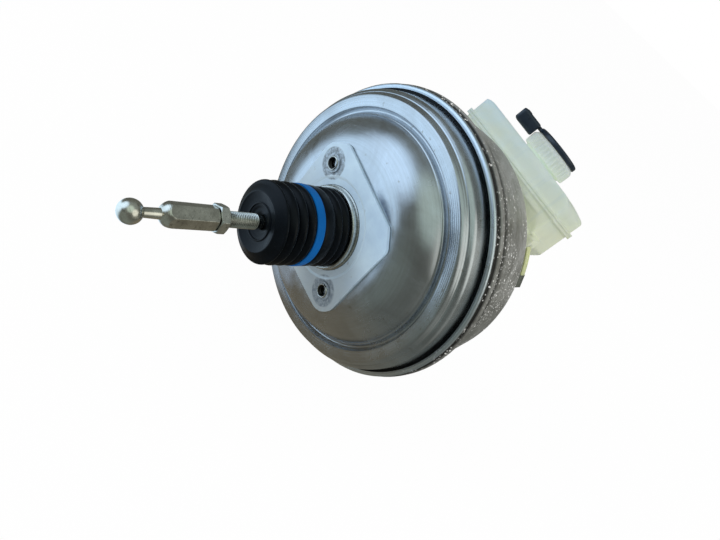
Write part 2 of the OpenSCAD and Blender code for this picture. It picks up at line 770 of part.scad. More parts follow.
// Cast cylinder with its flange, spigot, feed bosses, outlets and lengthwise ribs
module mc_body() {
    outlet_out = mc_r + 9;
    rib_t = 3;
    end_r = mc_r - 6;
    counter_r = bore_r + 4;
    color("#b9bab6") difference() {
        union() {
            slab_y(nose_y + 0.02, nose_y + mc_flange_t) rotate(hole_turn) flange_outline();
            bar_y(spigot_r, nose_y - spigot_len, nose_y + 1);
            bar_y(mc_r, nose_y + 1, mc_front_y - 14);
            bar_y(mc_r - 3, mc_front_y - 15, mc_front_y - 4);
            bar_y(end_r, mc_front_y - 5, mc_front_y);
            for (y = port_y) translate([0, y, 0]) cylinder(r = boss_r, h = boss_z);
            for (y = outlet_y) translate([0, y, 0]) rotate([0, -90, 0])
                cylinder(r = outlet_r + 4, h = outlet_out);
            for (a = [0, 180]) rotate([0, a, 0]) translate([-rib_t / 2, nose_y + 5, 0])
                cube([rib_t, mc_len - 30, mc_r + 2.5]);
        }
        bar_y(bore_r, nose_y - spigot_len - clear, mc_front_y - 9);
        bar_y(counter_r, nose_y - spigot_len - clear, nose_y - spigot_len + 9);
        for (p = tie_points) bar_y(stud_hole_r, nose_y - clear, nose_y + 30, p);
        for (y = port_y) translate([0, y, boss_z - 12]) cylinder(r = port_in_r, h = 20);
        for (y = port_y) translate([0, y, 0]) cylinder(r = 1.5, h = boss_z);
        for (y = outlet_y) translate([0, y, 0]) rotate([0, -90, 0])
            cylinder(r = 1.5, h = outlet_out);
        for (y = outlet_y) translate([-outlet_out + 13, y, 0]) rotate([0, -90, 0])
            cylinder(r = outlet_r, h = 20);
    }
}

module mc_nuts() {
    y0 = nose_y + mc_flange_t + 0.02;
    color("#8f9296") for (p = tie_points) difference() {
        union() {
            translate([p[0], 0, p[1]]) slab_y(y0 + 1.5, y0 + mc_nut_t) hexagon(mc_nut_af);
            bar_y(mc_nut_af / 2 + 2, y0, y0 + 1.6, p);
        }
        bar_y(stud_r + fit, y0 - clear, y0 + mc_nut_t + clear, p);
    }
}

module mc_guide() {
    back_y = nose_y - spigot_len;
    color("#6b6e72") ring_y(bore_r + 4 - fit, piston_r - 3, back_y + 3.6, back_y + 8.9);
}

module snap_ring() {
    back_y = nose_y - spigot_len;
    color("#84888d") ring_y(bore_r + 4 - fit, piston_r - 2, back_y + 1.4, back_y + 3.4);
}

module primary_piston() {
    stem_r = piston_r - 3 - fit;
    rear_y = nose_y - spigot_len + 9.2;
    color("#b7a56a") difference() {
        union() {
            bar_y(stem_r, primary_y - 6, rear_y + 1);
            bar_y(piston_r, rear_y, rear_y + 12);
            bar_y(piston_r - 3, rear_y + 11, rear_y + 20);
            bar_y(piston_r, rear_y + 19, primary_y + primary_len - 18);
            bar_y(4, primary_y + primary_len - 19, primary_y + primary_len - 12);
        }
        bar_y(4.6, primary_y - 8, primary_y + 12);
    }
}

module primary_cups() {
    rear_y = nose_y - spigot_len + 9.2;
    color("#16171a") ring_y(piston_r, piston_r - 2.98, rear_y + 12.4, rear_y + 18.6);
}

module primary_spring() {
    y0 = primary_y + primary_len - 17.9;
    color("#7f858c") coil(8, 8, y0, secondary_y - 0.1, 6, 1.1);
}

module secondary_piston() {
    color("#b7a56a") union() {
        bar_y(piston_r, secondary_y, secondary_y + 7);
        bar_y(piston_r - 3, secondary_y + 6, secondary_y + 14);
        bar_y(piston_r, secondary_y + 13, secondary_y + secondary_len - 12);
        bar_y(4, secondary_y + secondary_len - 13, secondary_y + secondary_len - 6);
    }
}

module secondary_cups() {
    color("#16171a") ring_y(piston_r, piston_r - 2.98, secondary_y + 7.4, secondary_y + 12.6);
}

module secondary_spring() {
    y0 = secondary_y + secondary_len - 11.9;
    color("#7f858c") coil(8, 8, y0, mc_front_y - 9.1, 6, 1.1);
}

module port_grommets() {
    color("#1b1c1f") for (y = port_y) translate([0, y, 0]) difference() {
        union() {
            translate([0, 0, boss_z + 0.02]) cylinder(r = boss_r - 0.5, h = 3);
            translate([0, 0, boss_z - 11]) cylinder(r = port_in_r - 0.02, h = 12);
        }
        translate([0, 0, boss_z - 20]) cylinder(r = port_r + fit, h = 40);
    }
}

// Frame of the tank, U up and V forward
module tilted() rotate([-tilt, 0, 0]) children();
module across(v0, v1) translate([0, v1, 0]) rotate([90, 0, 0]) linear_extrude(v1 - v0) children();
module along(x0, x1) translate([x0, 0, 0]) rotate([90, 0, 90]) linear_extrude(x1 - x0) children();

// Plan of the tank: straight back, chamfered corner on the filler side, rounded all round.
// The ends can grow further than the sides
module tank_plan(grow, ends = 0) {
    chamfer_x = 26;
    chamfer_v = 9;
    r = tank_r + grow;
    tight = corner_in_r + grow;
    x0 = tank_x0 + tank_r - ends;
    x1 = tank_x1 - tank_r + ends;
    v0 = tank_v0 + tank_r;
    v1 = tank_v1 - tank_r;
    round_outline([[x0, v0, r],
        [tank_x1 + ends - chamfer_x, tank_v0 + corner_in_r, tight],
        [tank_x1 + ends - corner_in_r, tank_v0 + corner_in_r + chamfer_v, tight],
        [x1, v1, r], [x0, v1, r]]);
}

module tank_block(inset, u0, u1, top_r) {
    r = top_r;
    end_fall = 2;
    intersection() {
        translate([0, 0, u0]) linear_extrude(u1 - u0) tank_plan(-inset);
        across(tank_v0, tank_v1) round_outline([
            [tank_x0 + inset + r, u1 - r, r], [tank_x0 + inset + 1, u0 + 1, 1],
            [tank_x1 - inset - 1, u0 + 1, 1], [tank_x1 - inset - r, u1 - r - end_fall, r]
        ]);
        along(tank_x0, tank_x1) round_outline([
            [tank_v0 + inset + r, u1 - r, r], [tank_v0 + inset + 1, u0 + 1, 1],
            [tank_v1 - inset - 1, u0 + 1, 1], [tank_v1 - inset - r, u1 - r - roof_fall, r]
        ]);
    }
}

module filler_place() translate([cap_x, cap_v, 0]) children();

module reservoir_upper() {
    color("#e3ece4") tilted() difference() {
        union() {
            tank_block(0, seam_u, roof_u, roof_r);
            translate([0, 0, seam_u + 0.02]) linear_extrude(rim_h) tank_plan(rim_out, rim_end);
            filler_place() translate([0, 0, roof_u - roof_fall - 2])
                cylinder(r = neck_out_r, h = roof_fall + 2 + filler_h);
        }
        tank_block(tank_wall, seam_u - 3, roof_u - tank_wall, roof_r - tank_wall);
        filler_place() translate([0, 0, seam_u]) cylinder(r = neck_hole_r, h = tank_h + 30);
    }
}

// Sides of the sump seen from behind, with its slanted right flank
module sump_profile(inset) {
    left_x = -24;
    right_x = tank_x1 + 0.4;
    r = 6 - inset;
    round_outline([
        [left_x + 6, sump_u + 6, r], [right_x - 20.5, sump_u + 6, r],
        [right_x - 6, sump_u + 22, r], [right_x - 6, seam_u + 6, r], [left_x + 6, seam_u + 6, r]
    ]);
}

// The sump reaches back to a wall that stands upright in front of the booster face
module sump_block(inset) {
    intersection() {
        tilted() across(tank_v0 + inset, tank_v1 - inset) sump_profile(inset);
        tilted() translate([0, 0, sump_u]) linear_extrude(seam_u - sump_u + (inset > 0 ? 3 : 0))
            tank_plan(-inset, 0.4);
        slab_y(sump_y + inset, sump_y + 2 * tank_depth) square(4 * seam_u, center = true);
    }
}

module reservoir_lower() {
    spout_z = boss_z - 8;
    spout_h = 30;
    lug_x = [50, 74];
    lug_z = [69, 79];
    color("#dfe9e1") difference() {
        union() {
            tilted() {
                translate([0, 0, seam_u - rim_h]) linear_extrude(rim_h)
                    tank_plan(rim_out, rim_end);
                translate([0, 0, seam_u - tray_h]) linear_extrude(tray_h) tank_plan(0);
            }
            sump_block(0);
            difference() {
                translate([lug_x[0], strap_y - 1.5, lug_z[0]])
                    cube([lug_x[1] - lug_x[0], sump_y - strap_y + 6, lug_z[1] - lug_z[0]]);
                ring_y(strap_r + strap_t + 0.02, strap_r - 0.02, strap_y - 0.02,
                    strap_y + strap_w + 0.02);
            }
            for (y = port_y) translate([0, y, spout_z]) cylinder(r = port_r, h = spout_h);
            for (y = port_y) translate([0, y, boss_z + 4]) cylinder(r = port_r + 3, h = 18);
        }
        tilted() translate([0, 0, seam_u - tray_h + tank_wall]) linear_extrude(tray_h)
            tank_plan(-tank_wall);
        sump_block(tank_wall);
        for (y = port_y) translate([0, y, 0]) cylinder(r = port_r - 2, h = 60);
    }
}

module strainer() {
    depth = 14;
    r = neck_hole_r - 0.02;
    top = roof_u + filler_h - 2;
    color("#d8d4c4") tilted() filler_place() difference() {
        union() {
            translate([0, 0, top - depth]) cylinder(r = r, h = depth);
        }
        translate([0, 0, top - depth + 1.2]) cylinder(r = r - 1.2, h = depth);
        for (i = [0:7]) rotate(45 * i) translate([r - 3.4, 0, top - depth - clear])
            cylinder(r = 1.6, h = 4);
        translate([0, 0, top - depth - clear]) cylinder(r = float_r + 1.2, h = 4);
    }
}

// Strap from the tank down to a tab on the shoulder of the front shell
module hold_down_strap() {
    reach = 2 * strap_r;
    a0 = 30;
    a1 = 49;
    color("#ccd08a") intersection() {
        ring_y(strap_r + strap_t, strap_r, strap_y, strap_y + strap_w);
        slab_y(strap_y - clear, strap_y + strap_w + clear) polygon([
            [0, 0], reach * [cos(a0), sin(a0)], reach * [cos(a1), sin(a1)]
        ]);
    }
}

module strap_tab() {
    tab_w = 12;
    tab_t = 2.4;
    turn = 27;
    y1 = nose_y + 2;
    y0 = nose_y - 20;
    color("#8c8b84") difference() {
        rotate([0, -turn, 0]) union() {
            translate([strap_r + 0.4, y0, -tab_w / 2]) cube([tab_t, y1 - y0, tab_w]);
            translate([strap_r - 8, y0 + 6, -tab_w / 2]) cube([10, tab_t, tab_w]);
        }
        turned(concat(front_outline(), [[0, nose_y], [0, flange_y]]));
    }
}

module cap_ring() {
    rib_r = 1.5;
    out = cap_d / 2;
    body_r = out - 0.8;
    top_land = 3;
    color("#e6eee8") tilted() filler_place() translate([0, 0, cap_u]) difference() {
        intersection() {
            linear_extrude(cap_h) union() {
                circle(r = body_r);
                for (i = [0:cap_ribs - 1]) rotate(360 / cap_ribs * i)
                    translate([out - rib_r, 0]) circle(r = rib_r);
            }
            rotate_extrude() polygon([
                [0, -clear], [out + clear, -clear], [out + clear, cap_h - top_land - clear],
                [body_r - 2, cap_h], [0, cap_h]
            ]);
        }
        translate([0, 0, -clear]) cylinder(r = neck_out_r + gap, h = filler_h + clear);
        translate([0, 0, -clear]) cylinder(r = neck_out_r - 2, h = cap_h + 2 * clear);
    }
}

module cap_seal() {
    u0 = roof_u + filler_h + 0.02;
    color("#232427") tilted() filler_place() difference() {
        translate([0, 0, u0]) cylinder(r = neck_out_r - 0.4, h = 1.1);
        translate([0, 0, u0 - clear]) cylinder(r = neck_hole_r + 0.4, h = 4);
    }
}

// Sensor head: domed disc over the ring, plug through it, short arm and plug-in housing
module level_sensor() {
    top = cap_u + cap_h;
    base = top + gap;
    edge_h = 2.6;
    dome_h = disc_h - edge_h;
    dome_big_r = (disc_r * disc_r + dome_h * dome_h) / (2 * dome_h);
    dome_a = asin(disc_r / dome_big_r);
    plug_u = roof_u + filler_h + 1.3;
    arm_turn = 207;
    house_x = cap_d / 2 + 2 * gap;
    house_len = 22;
    house_w = 15;
    house_u = [top - 6.2, top + 3.6];
    mid_u = (house_u[0] + house_u[1]) / 2;
    corner = 2;
    wall = 1.4;
    color("#17191c") tilted() filler_place() difference() {
        union() {
            rotate_extrude() polygon(concat(
                [[0, base], [disc_r, base], [disc_r, base + edge_h]],
                arc([0, base + disc_h - dome_big_r], dome_big_r, 90 - dome_a, 90, 8)
            ));
            translate([0, 0, plug_u]) cylinder(r = neck_out_r - 2.3, h = base - plug_u + 0.5);
            rotate(arm_turn) translate([0, -5, base]) cube([house_x + 3, 10, 3.2]);
            rotate(arm_turn) translate([house_x, 0, mid_u]) rotate([90, 0, 90])
                linear_extrude(house_len) housing_outline(house_w, house_u[1] - house_u[0], corner);
            rotate(arm_turn) translate([house_x + house_len - 9, -2.5, house_u[1] - 0.5])
                cube([7, 5, 1.7]);
        }
        rotate(arm_turn) translate([house_x + house_len - 14, 0, mid_u]) rotate([90, 0, 90])
            linear_extrude(15) housing_outline(house_w - 2 * wall,
                house_u[1] - house_u[0] - 2 * wall, corner - 1);
    }
}

module housing_outline(w, h, r) {
    x = w / 2 - r;
    y = h / 2 - r;
    round_outline([[-x, -y, r], [x, -y, r], [x, y, r], [-x, y, r]]);
}

module sensor_stem() {
    stem_len = 60;
    top = roof_u + filler_h + 1.2;
    color("#33363a") tilted() filler_place() union() {
        translate([0, 0, top - stem_len]) cylinder(r = 3, h = stem_len);
        translate([0, 0, top - stem_len - 2]) cylinder(r = 5, h = 2.1);
    }
}

module float() {
    top = roof_u + filler_h - 22;
    color("#c9a15c") tilted() filler_place() difference() {
        translate([0, 0, top - 14]) cylinder(r = float_r, h = 14);
        translate([0, 0, top - 15]) cylinder(r = 3 + fit, h = 16);
    }
}

rear_shell();
front_shell();
firewall_plate();
neck_ring();
tie_bolts();
guide_bearing();
guide_seal();
diaphragm();
diaphragm_plate();
valve_body();
tie_seals();
stop_key();
air_filter();
silencer();
reaction_disc();
output_rod();
return_spring();
poppet_valve();
poppet_spring();
poppet_retainer();
valve_plunger();
rod_spring();
input_rod();
jam_nut();
ball_sleeve();
boot();
boot_band();
check_grommet();
check_valve();
check_disc();
check_spring();
mc_seal();
mc_body();
mc_nuts();
mc_guide();
snap_ring();
primary_piston();
primary_cups();
primary_spring();
secondary_piston();
secondary_cups();
secondary_spring();
port_grommets();
reservoir_lower();
reservoir_upper();
strainer();
hold_down_strap();
strap_tab();
cap_ring();
cap_seal();
level_sensor();
sensor_stem();
float();
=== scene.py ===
import math

import bpy
import numpy as np
from mathutils import Matrix, Vector


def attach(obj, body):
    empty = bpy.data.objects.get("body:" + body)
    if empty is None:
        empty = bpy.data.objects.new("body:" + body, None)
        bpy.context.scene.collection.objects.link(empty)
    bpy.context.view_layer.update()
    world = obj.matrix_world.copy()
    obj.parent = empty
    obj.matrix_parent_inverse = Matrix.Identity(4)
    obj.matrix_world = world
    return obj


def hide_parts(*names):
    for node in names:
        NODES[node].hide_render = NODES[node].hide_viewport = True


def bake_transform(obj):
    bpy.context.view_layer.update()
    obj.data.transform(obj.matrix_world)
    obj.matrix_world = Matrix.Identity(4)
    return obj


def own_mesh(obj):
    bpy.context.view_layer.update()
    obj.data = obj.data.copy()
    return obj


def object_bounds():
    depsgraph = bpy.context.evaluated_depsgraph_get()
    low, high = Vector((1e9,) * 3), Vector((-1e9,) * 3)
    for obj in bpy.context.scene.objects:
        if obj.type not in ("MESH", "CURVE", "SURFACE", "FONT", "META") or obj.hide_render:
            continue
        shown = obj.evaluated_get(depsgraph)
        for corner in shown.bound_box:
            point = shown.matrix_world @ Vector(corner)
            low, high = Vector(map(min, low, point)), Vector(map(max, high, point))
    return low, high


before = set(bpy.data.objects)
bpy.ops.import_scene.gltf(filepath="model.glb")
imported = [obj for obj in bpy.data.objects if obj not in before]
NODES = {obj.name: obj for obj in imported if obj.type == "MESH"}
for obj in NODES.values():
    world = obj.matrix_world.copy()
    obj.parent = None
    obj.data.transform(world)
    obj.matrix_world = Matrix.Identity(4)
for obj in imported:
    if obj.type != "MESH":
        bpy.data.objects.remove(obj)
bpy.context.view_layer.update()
MM = 0.001

# The two tie bolts stand across from each other on one circle, turned 45 degrees
TIE_CIRCLE = 103
TIE = TIE_CIRCLE / 2 * math.sin(math.radians(45))
TIES = {"upper": (-TIE, TIE), "lower": (TIE, -TIE)}

# ---------------------------------------------------------------- camera
RIGHT = Vector((0.44134297, 0.69675188, 0.56546724))
DOWN = Vector((0.78257291, 0.00949079, -0.6224866))
FORWARD = Vector((-0.43908544, 0.71724943, -0.54107045))
camera = bpy.data.objects.new("camera", bpy.data.cameras.new("camera"))
bpy.context.scene.collection.objects.link(camera)
turn = Matrix((RIGHT, -DOWN, -FORWARD)).transposed()
camera.matrix_world = Matrix.Translation((0.254452, -0.334972, 0.259581)) @ turn.to_4x4()
camera.data.lens = 30.55
camera.data.sensor_width = 36
camera.data.clip_start = 0.01
camera.data.clip_end = 50
bpy.context.scene.camera = camera
bpy.context.scene.view_settings.view_transform = "Standard"


# ---------------------------------------------------------------- node materials
class Look:
    """A procedural material round one Principled shader. Places are in the object's own frame, in metres,
    and scales are per metre."""

    def __init__(self, name, color, rough, metal=0.0, **sockets):
        self.mat = bpy.data.materials.new(name)
        self.mat.use_nodes = True
        self.tree = self.mat.node_tree
        self.shader = self.tree.nodes["Principled BSDF"]
        self.coord = self.node("ShaderNodeTexCoord").outputs["Object"]
        values = {"Base Color": (*color, 1), "Roughness": rough, "Metallic": metal, **sockets}
        for key, value in values.items():
            self.shader.inputs[key].default_value = value

    def node(self, kind, **props):
        made = self.tree.nodes.new(kind)
        for key, value in props.items():
            setattr(made, key, value)
        return made

    def link(self, source, target):
        self.tree.links.new(source, target)

    def math(self, operation, a, b=None):
        made = self.node("ShaderNodeMath", operation=operation)
        for socket, value in zip(made.inputs, (a, b)):
            if hasattr(value, "is_output"):
                self.link(value, socket)
            elif value is not None:
                socket.default_value = value
        return made.outputs[0]

    def place(self, axis):
        """The place along X, Y or Z, in metres."""
        made = self.node("ShaderNodeSeparateXYZ")
        self.link(self.coord, made.inputs[0])
        return made.outputs[axis]

    def stretched(self, scale):
        """The place, scaled by a different number along each axis."""
        made = self.node("ShaderNodeVectorMath", operation="MULTIPLY")
        self.link(self.coord, made.inputs[0])
        made.inputs[1].default_value = scale
        return made.outputs[0]

    def from_axis(self):
        """Distance from the booster axis."""
        made = self.node("ShaderNodeVectorMath", operation="LENGTH")
        self.link(self.stretched((1, 0, 1)), made.inputs[0])
        return made.outputs["Value"]

    def rings(self, per_metre, detail=4.0):
        """Noise that only changes with the distance from the axis, as on a spun sheet."""
        radius = self.node("ShaderNodeCombineXYZ")
        self.link(self.from_axis(), radius.inputs[0])
        return self.noise(per_metre, detail, 0.6, radius.outputs[0])

    def noise(self, scale, detail=3.0, rough=0.5, vector=None, distortion=0.0):
        made = self.node("ShaderNodeTexNoise")
        self.link(vector or self.coord, made.inputs["Vector"])
        made.inputs["Scale"].default_value = scale
        made.inputs["Detail"].default_value = detail
        made.inputs["Roughness"].default_value = rough
        made.inputs["Distortion"].default_value = distortion
        return made.outputs["Fac"]

    def cells(self, scale):
        """Distance from scattered points, for specks."""
        made = self.node("ShaderNodeTexVoronoi")
        self.link(self.coord, made.inputs["Vector"])
        made.inputs["Scale"].default_value = scale
        return made.outputs["Distance"]

    def fit(self, value, low, high, to_low, to_high):
        made = self.node("ShaderNodeMapRange", clamp=True)
        self.link(value, made.inputs["Value"])
        for key, number in (("From Min", low), ("From Max", high), ("To Min", to_low), ("To Max", to_high)):
            made.inputs[key].default_value = number
        return made.outputs["Result"]

    def mix(self, factor, a, b):
        """Colour a where factor is 0, b where it is 1. Either can be a colour or a socket."""
        made = self.node("ShaderNodeMix", data_type="RGBA")
        self.link(factor, made.inputs[0])
        for socket, value in ((made.inputs[6], a), (made.inputs[7], b)):
            if hasattr(value, "is_output"):
                self.link(value, socket)
            else:
                socket.default_value = (*value, 1)
        return made.outputs[2]

    def color(self, socket):
        self.link(socket, self.shader.inputs["Base Color"])
        return self

    def rough(self, socket):
        self.link(socket, self.shader.inputs["Roughness"])
        return self

    def spun(self, amount):
        """Fine turning marks round the booster axis stretch the highlights."""
        made = self.node("ShaderNodeTangent", direction_type="RADIAL", axis="Y")
        self.link(made.outputs[0], self.shader.inputs["Tangent"])
        self.shader.inputs["Anisotropic"].default_value = amount
        self.shader.inputs["Anisotropic Rotation"].default_value = 0.25
        return self

    def glow(self, color, strength):
        """A faint painted glow, standing in for light that comes through a translucent wall."""
        self.link(color, self.shader.inputs["Emission Color"])
        self.shader.inputs["Emission Strength"].default_value = strength
        return self

    def metal(self, share):
        self.link(share, self.shader.inputs["Metallic"])
        return self

    def along(self, start, end):
        """0 at start and 1 at end along the booster axis. Both are given in mm."""
        return self.fit(self.place("Y"), MM * start, MM * end, 0, 1)

    def soften(self, radius):
        """Rounds the shading of sharp edges, as a mould does. Called before bump."""
        made = self.node("ShaderNodeBevel", samples=6)
        made.inputs["Radius"].default_value = radius
        self.link(made.outputs[0], self.shader.inputs["Normal"])
        return self

    def crevice(self, distance, low=0.35, high=0.85):
        """1 in corners and grooves, 0 in the open."""
        made = self.node("ShaderNodeAmbientOcclusion", samples=6)
        made.inputs["Distance"].default_value = distance
        return self.fit(made.outputs["AO"], low, high, 1, 0)

    def bump(self, height, distance, strength=1.0):
        """Raises the surface by up to distance metres. A second call lies over the first."""
        made = self.node("ShaderNodeBump")
        made.inputs["Strength"].default_value = strength
        made.inputs["Distance"].default_value = distance
        self.link(height, made.inputs["Height"])
        old = self.shader.inputs["Normal"].links
        if old:
            self.link(old[0].from_socket, made.inputs["Normal"])
        self.link(made.outputs["Normal"], self.shader.inputs["Normal"])
        return self


def polished_shell():
    """Spun aluminium sheet, polished and handled: cloudy smears, fine turning lines, painted shade in the
    creases and a few brown stains."""
    m = Look("polished_shell", (0.52, 0.54, 0.56), 0.28, 1.0).spun(0.75)
    smear = m.noise(16, 5, 0.62, m.stretched((1, 1, 1.6)), 1.1)
    wiped = m.noise(60, 4, 0.6, m.stretched((1, 0.6, 0.35)), 0.6)
    lines = m.rings(1400, 5)
    bands = m.rings(170, 3)
    base = m.mix(m.fit(smear, 0.35, 0.68, 0, 1), (0.47, 0.49, 0.51), (0.62, 0.66, 0.70))
    base = m.mix(m.fit(lines, 0.40, 0.62, 0, 0.30), base, (0.36, 0.37, 0.38))
    base = m.mix(m.fit(bands, 0.45, 0.60, 0, 0.25), base, (0.41, 0.415, 0.41))
    stain = m.fit(m.noise(210, 3, 0.5), 0.68, 0.74, 0, 0.5)
    base = m.mix(stain, base, (0.27, 0.235, 0.18))
    # painted shade: the creases darkened through ambient occlusion
    base = m.mix(m.math("MULTIPLY", m.crevice(0.003, 0.2, 0.6), 0.6), base, (0.10, 0.095, 0.085))
    m.color(base)
    m.rough(m.fit(m.math("ADD", smear, m.math("MULTIPLY", wiped, 0.6)), 0.6, 1.05, 0.18, 0.31))
    m.bump(lines, 0.000010)
    return m.bump(m.noise(42, 3, 0.5), 0.00015, 0.5).mat


def dusty_shell():
    """The front shell: a bright bluish painted reflection on its rolled edge, then a brown-grey film,
    scuffs and white specks of corrosion. Painted shade darkens the creases, two bands behind the rolled
    edge and the lower side."""
    m = Look("dusty_shell", (0.36, 0.355, 0.33), 0.45, 0.75).spun(0.4)
    cloud = m.noise(22, 5, 0.65, None, 0.8)
    lines = m.rings(900, 4)
    base = m.mix(m.fit(cloud, 0.3, 0.7, 0, 1), (0.33, 0.325, 0.30), (0.56, 0.56, 0.54))
    scuff = m.noise(60, 5, 0.7, m.stretched((1, 3, 1)), 1.0)
    base = m.mix(m.fit(scuff, 0.52, 0.66, 0, 0.5), base, (0.24, 0.225, 0.195))
    base = m.mix(m.fit(m.noise(320, 5, 0.7), 0.50, 0.66, 0, 0.5), base, (0.24, 0.225, 0.19))
    # painted shade: the creases darkened through ambient occlusion
    base = m.mix(m.math("MULTIPLY", m.crevice(0.003, 0.2, 0.6), 0.6), base, (0.06, 0.055, 0.05))
    # painted shade: a near-black band from about 60 to 76 mm along the axis
    shade = m.math("MULTIPLY", m.along(59.6, 61.5), m.math("SUBTRACT", 1, m.along(70, 76)))
    base = m.mix(m.math("MULTIPLY", shade, 0.85), base, (0.055, 0.053, 0.048))
    patch = m.fit(m.noise(34, 2), 0.40, 0.56, 0, 1)
    specks = m.math("MULTIPLY", m.fit(m.cells(190), 0.13, 0.20, 1, 0), patch)
    small = m.math("MULTIPLY", m.fit(m.cells(360), 0.15, 0.24, 1, 0), patch)
    specks = m.math("MAXIMUM", specks, small)
    # painted reflection: the rolled edge, up to 50-51 mm along the axis, takes a bright bluish colour; it
    # is also made more metallic and smoother
    clean_rim_and_painted_reflection = m.math("SUBTRACT", 1, m.along(49.8, 51.2))
    # painted shade: darker towards the bottom
    base = m.mix(m.fit(m.place("Z"), 0.055, -0.055, 0, 0.85), base, (0.17, 0.166, 0.148))
    # painted shade: a near-black band from about 50.5 to 56 mm along the axis, beside the gap to the rear
    # shell
    gap_painted_shade = m.math("MULTIPLY", m.along(50.5, 51.5), m.math("SUBTRACT", 1, m.along(54.5, 56)))
    gap_painted_shade = m.math("MULTIPLY", gap_painted_shade, 0.95)
    base = m.mix(gap_painted_shade, base, (0.018, 0.017, 0.016))
    base = m.mix(specks, base, (0.92, 0.92, 0.88))
    # painted reflection on the rolled edge
    base = m.mix(clean_rim_and_painted_reflection, base, (0.68, 0.74, 0.80))
    m.color(base)
    film = m.math("SUBTRACT", m.math("ADD", m.fit(cloud, 0.3, 0.7, 0.75, 0.45), clean_rim_and_painted_reflection), specks)
    m.metal(film)
    m.rough(m.math("SUBTRACT", m.fit(cloud, 0.3, 0.7, 0.36, 0.6), m.math("MULTIPLY", clean_rim_and_painted_reflection, 0.12)))
    m.bump(lines, 0.00002)
    return m.bump(m.noise(520, 4, 0.6), 0.00006).mat


def plate_coat():
    """Pale blue-white matt coat on the firewall plate, with a mottled film, dark rubs and a scuffed dish
    round each hole. Painted shade darkens it towards the bottom and in the corners, and a painted
    highlight runs round the sunk field."""
    m = Look("plate_coat", (0.45, 0.60, 0.72), 0.5, 0.0, **{"Specular IOR Level": 0.4})
    film = m.noise(38, 5, 0.6)
    fine = m.noise(420, 4, 0.6)
    base = m.mix(m.fit(film, 0.32, 0.68, 0, 1), (0.46, 0.645, 0.835), (0.60, 0.815, 0.985))
    # painted shade: darker and greyer towards the bottom
    lower_painted_shade = m.math("MULTIPLY", m.fit(m.place("Z"), 0.038, -0.035, 0, 0.8), m.fit(film, 0.2, 0.6, 0.7, 1))
    base = m.mix(lower_painted_shade, base, (0.35, 0.39, 0.385))
    rub = m.fit(m.noise(150, 5, 0.75, m.stretched((1, 1, 0.5)), 0.5), 0.64, 0.71, 0, 0.7)
    base = m.mix(rub, base, (0.25, 0.27, 0.28))
    base = m.mix(m.fit(fine, 0.62, 0.76, 0, 0.4), base, (0.62, 0.74, 0.82))
    flat = m.stretched((1, 0, 1))
    patchy = m.fit(m.noise(300, 5, 0.75), 0.34, 0.58, 0.1, 1)
    for at in TIES.values():
        apart = m.node("ShaderNodeVectorMath", operation="DISTANCE")
        m.link(flat, apart.inputs[0])
        apart.inputs[1].default_value = (MM * at[0], 0, MM * at[1])
        worn = m.math("MULTIPLY", m.fit(apart.outputs["Value"], 0.0138, 0.0126, 0, 0.95), patchy)
        base = m.mix(worn, base, (0.17, 0.215, 0.26))
    # painted shade: the corners darkened through ambient occlusion
    base = m.mix(m.math("MULTIPLY", m.crevice(0.002, 0.2, 0.7), 0.45), base, (0.12, 0.13, 0.13))
    out = m.from_axis()
    # painted highlight: a light ring round the sunk field, 40 to 42 mm from the axis
    field_painted_highlight = m.math("MULTIPLY", m.fit(out, 0.0396, 0.0404, 0, 0.75), m.fit(out, 0.0424, 0.0416, 0, 1))
    m.color(m.mix(field_painted_highlight, base, (0.64, 0.83, 0.97)))
    m.rough(m.fit(film, 0.3, 0.7, 0.42, 0.6))
    m.soften(0.0004)
    return m.bump(fine, 0.00003).mat


def plated(name, dark, light, rough, reach=0.0015, deep=0.8):
    """Plating over turned steel: soft cloudy colour, fine turning marks and painted shade in the corners.
    The corners are darkened over a reach in metres, by a share from 0 to 1."""
    m = Look(name, light, rough[0], 1.0)
    cloud = m.noise(90, 4, 0.6)
    marks = m.noise(1, 3, 0.6, m.stretched((14, 4200, 14)))
    base = m.mix(m.fit(cloud, 0.3, 0.7, 0, 1), dark, light)
    base = m.mix(m.fit(m.noise(420, 4, 0.6), 0.58, 0.70, 0, 0.6), base, tuple(0.4 * x for x in dark))
    # painted shade: the corners darkened through ambient occlusion
    base = m.mix(m.math("MULTIPLY", m.crevice(reach, 0.3, 0.8), deep), base, tuple(0.12 * x for x in dark))
    m.color(base)
    m.rough(m.fit(cloud, 0.3, 0.7, *rough))
    m.soften(0.0003)
    return m.bump(marks, 0.00002).bump(m.noise(260, 3), 0.00004).mat


def rubber():
    """Black moulded rubber with a thin dusty bloom and a pale line along each fold, partly dust and partly
    a painted highlight.
    """
    color = (0.0008, 0.0018, 0.0034)
    m = Look("rubber_black", color, 0.32, 0.0, **{"Specular IOR Level": 0.14})
    dust = m.noise(55, 5, 0.65, None, 0.4)
    base = m.mix(m.fit(dust, 0.42, 0.74, 0, 0.8), color, (0.0022, 0.0048, 0.0080))
    # partly dust and partly painted highlight: a pale line in the folds
    fold = m.math("MULTIPLY", m.crevice(0.0012, 0.35, 0.6), m.fit(dust, 0.4, 0.6, 0.15, 0.6))
    base = m.mix(fold, base, (0.050, 0.052, 0.052))
    m.color(m.mix(m.fit(m.cells(620), 0.04, 0.10, 0.35, 0), base, (0.10, 0.10, 0.10)))
    m.rough(m.fit(dust, 0.3, 0.7, 0.24, 0.40))
    return m.bump(m.noise(900, 3, 0.6), 0.00003).bump(m.noise(120, 3, 0.5), 0.00008).mat


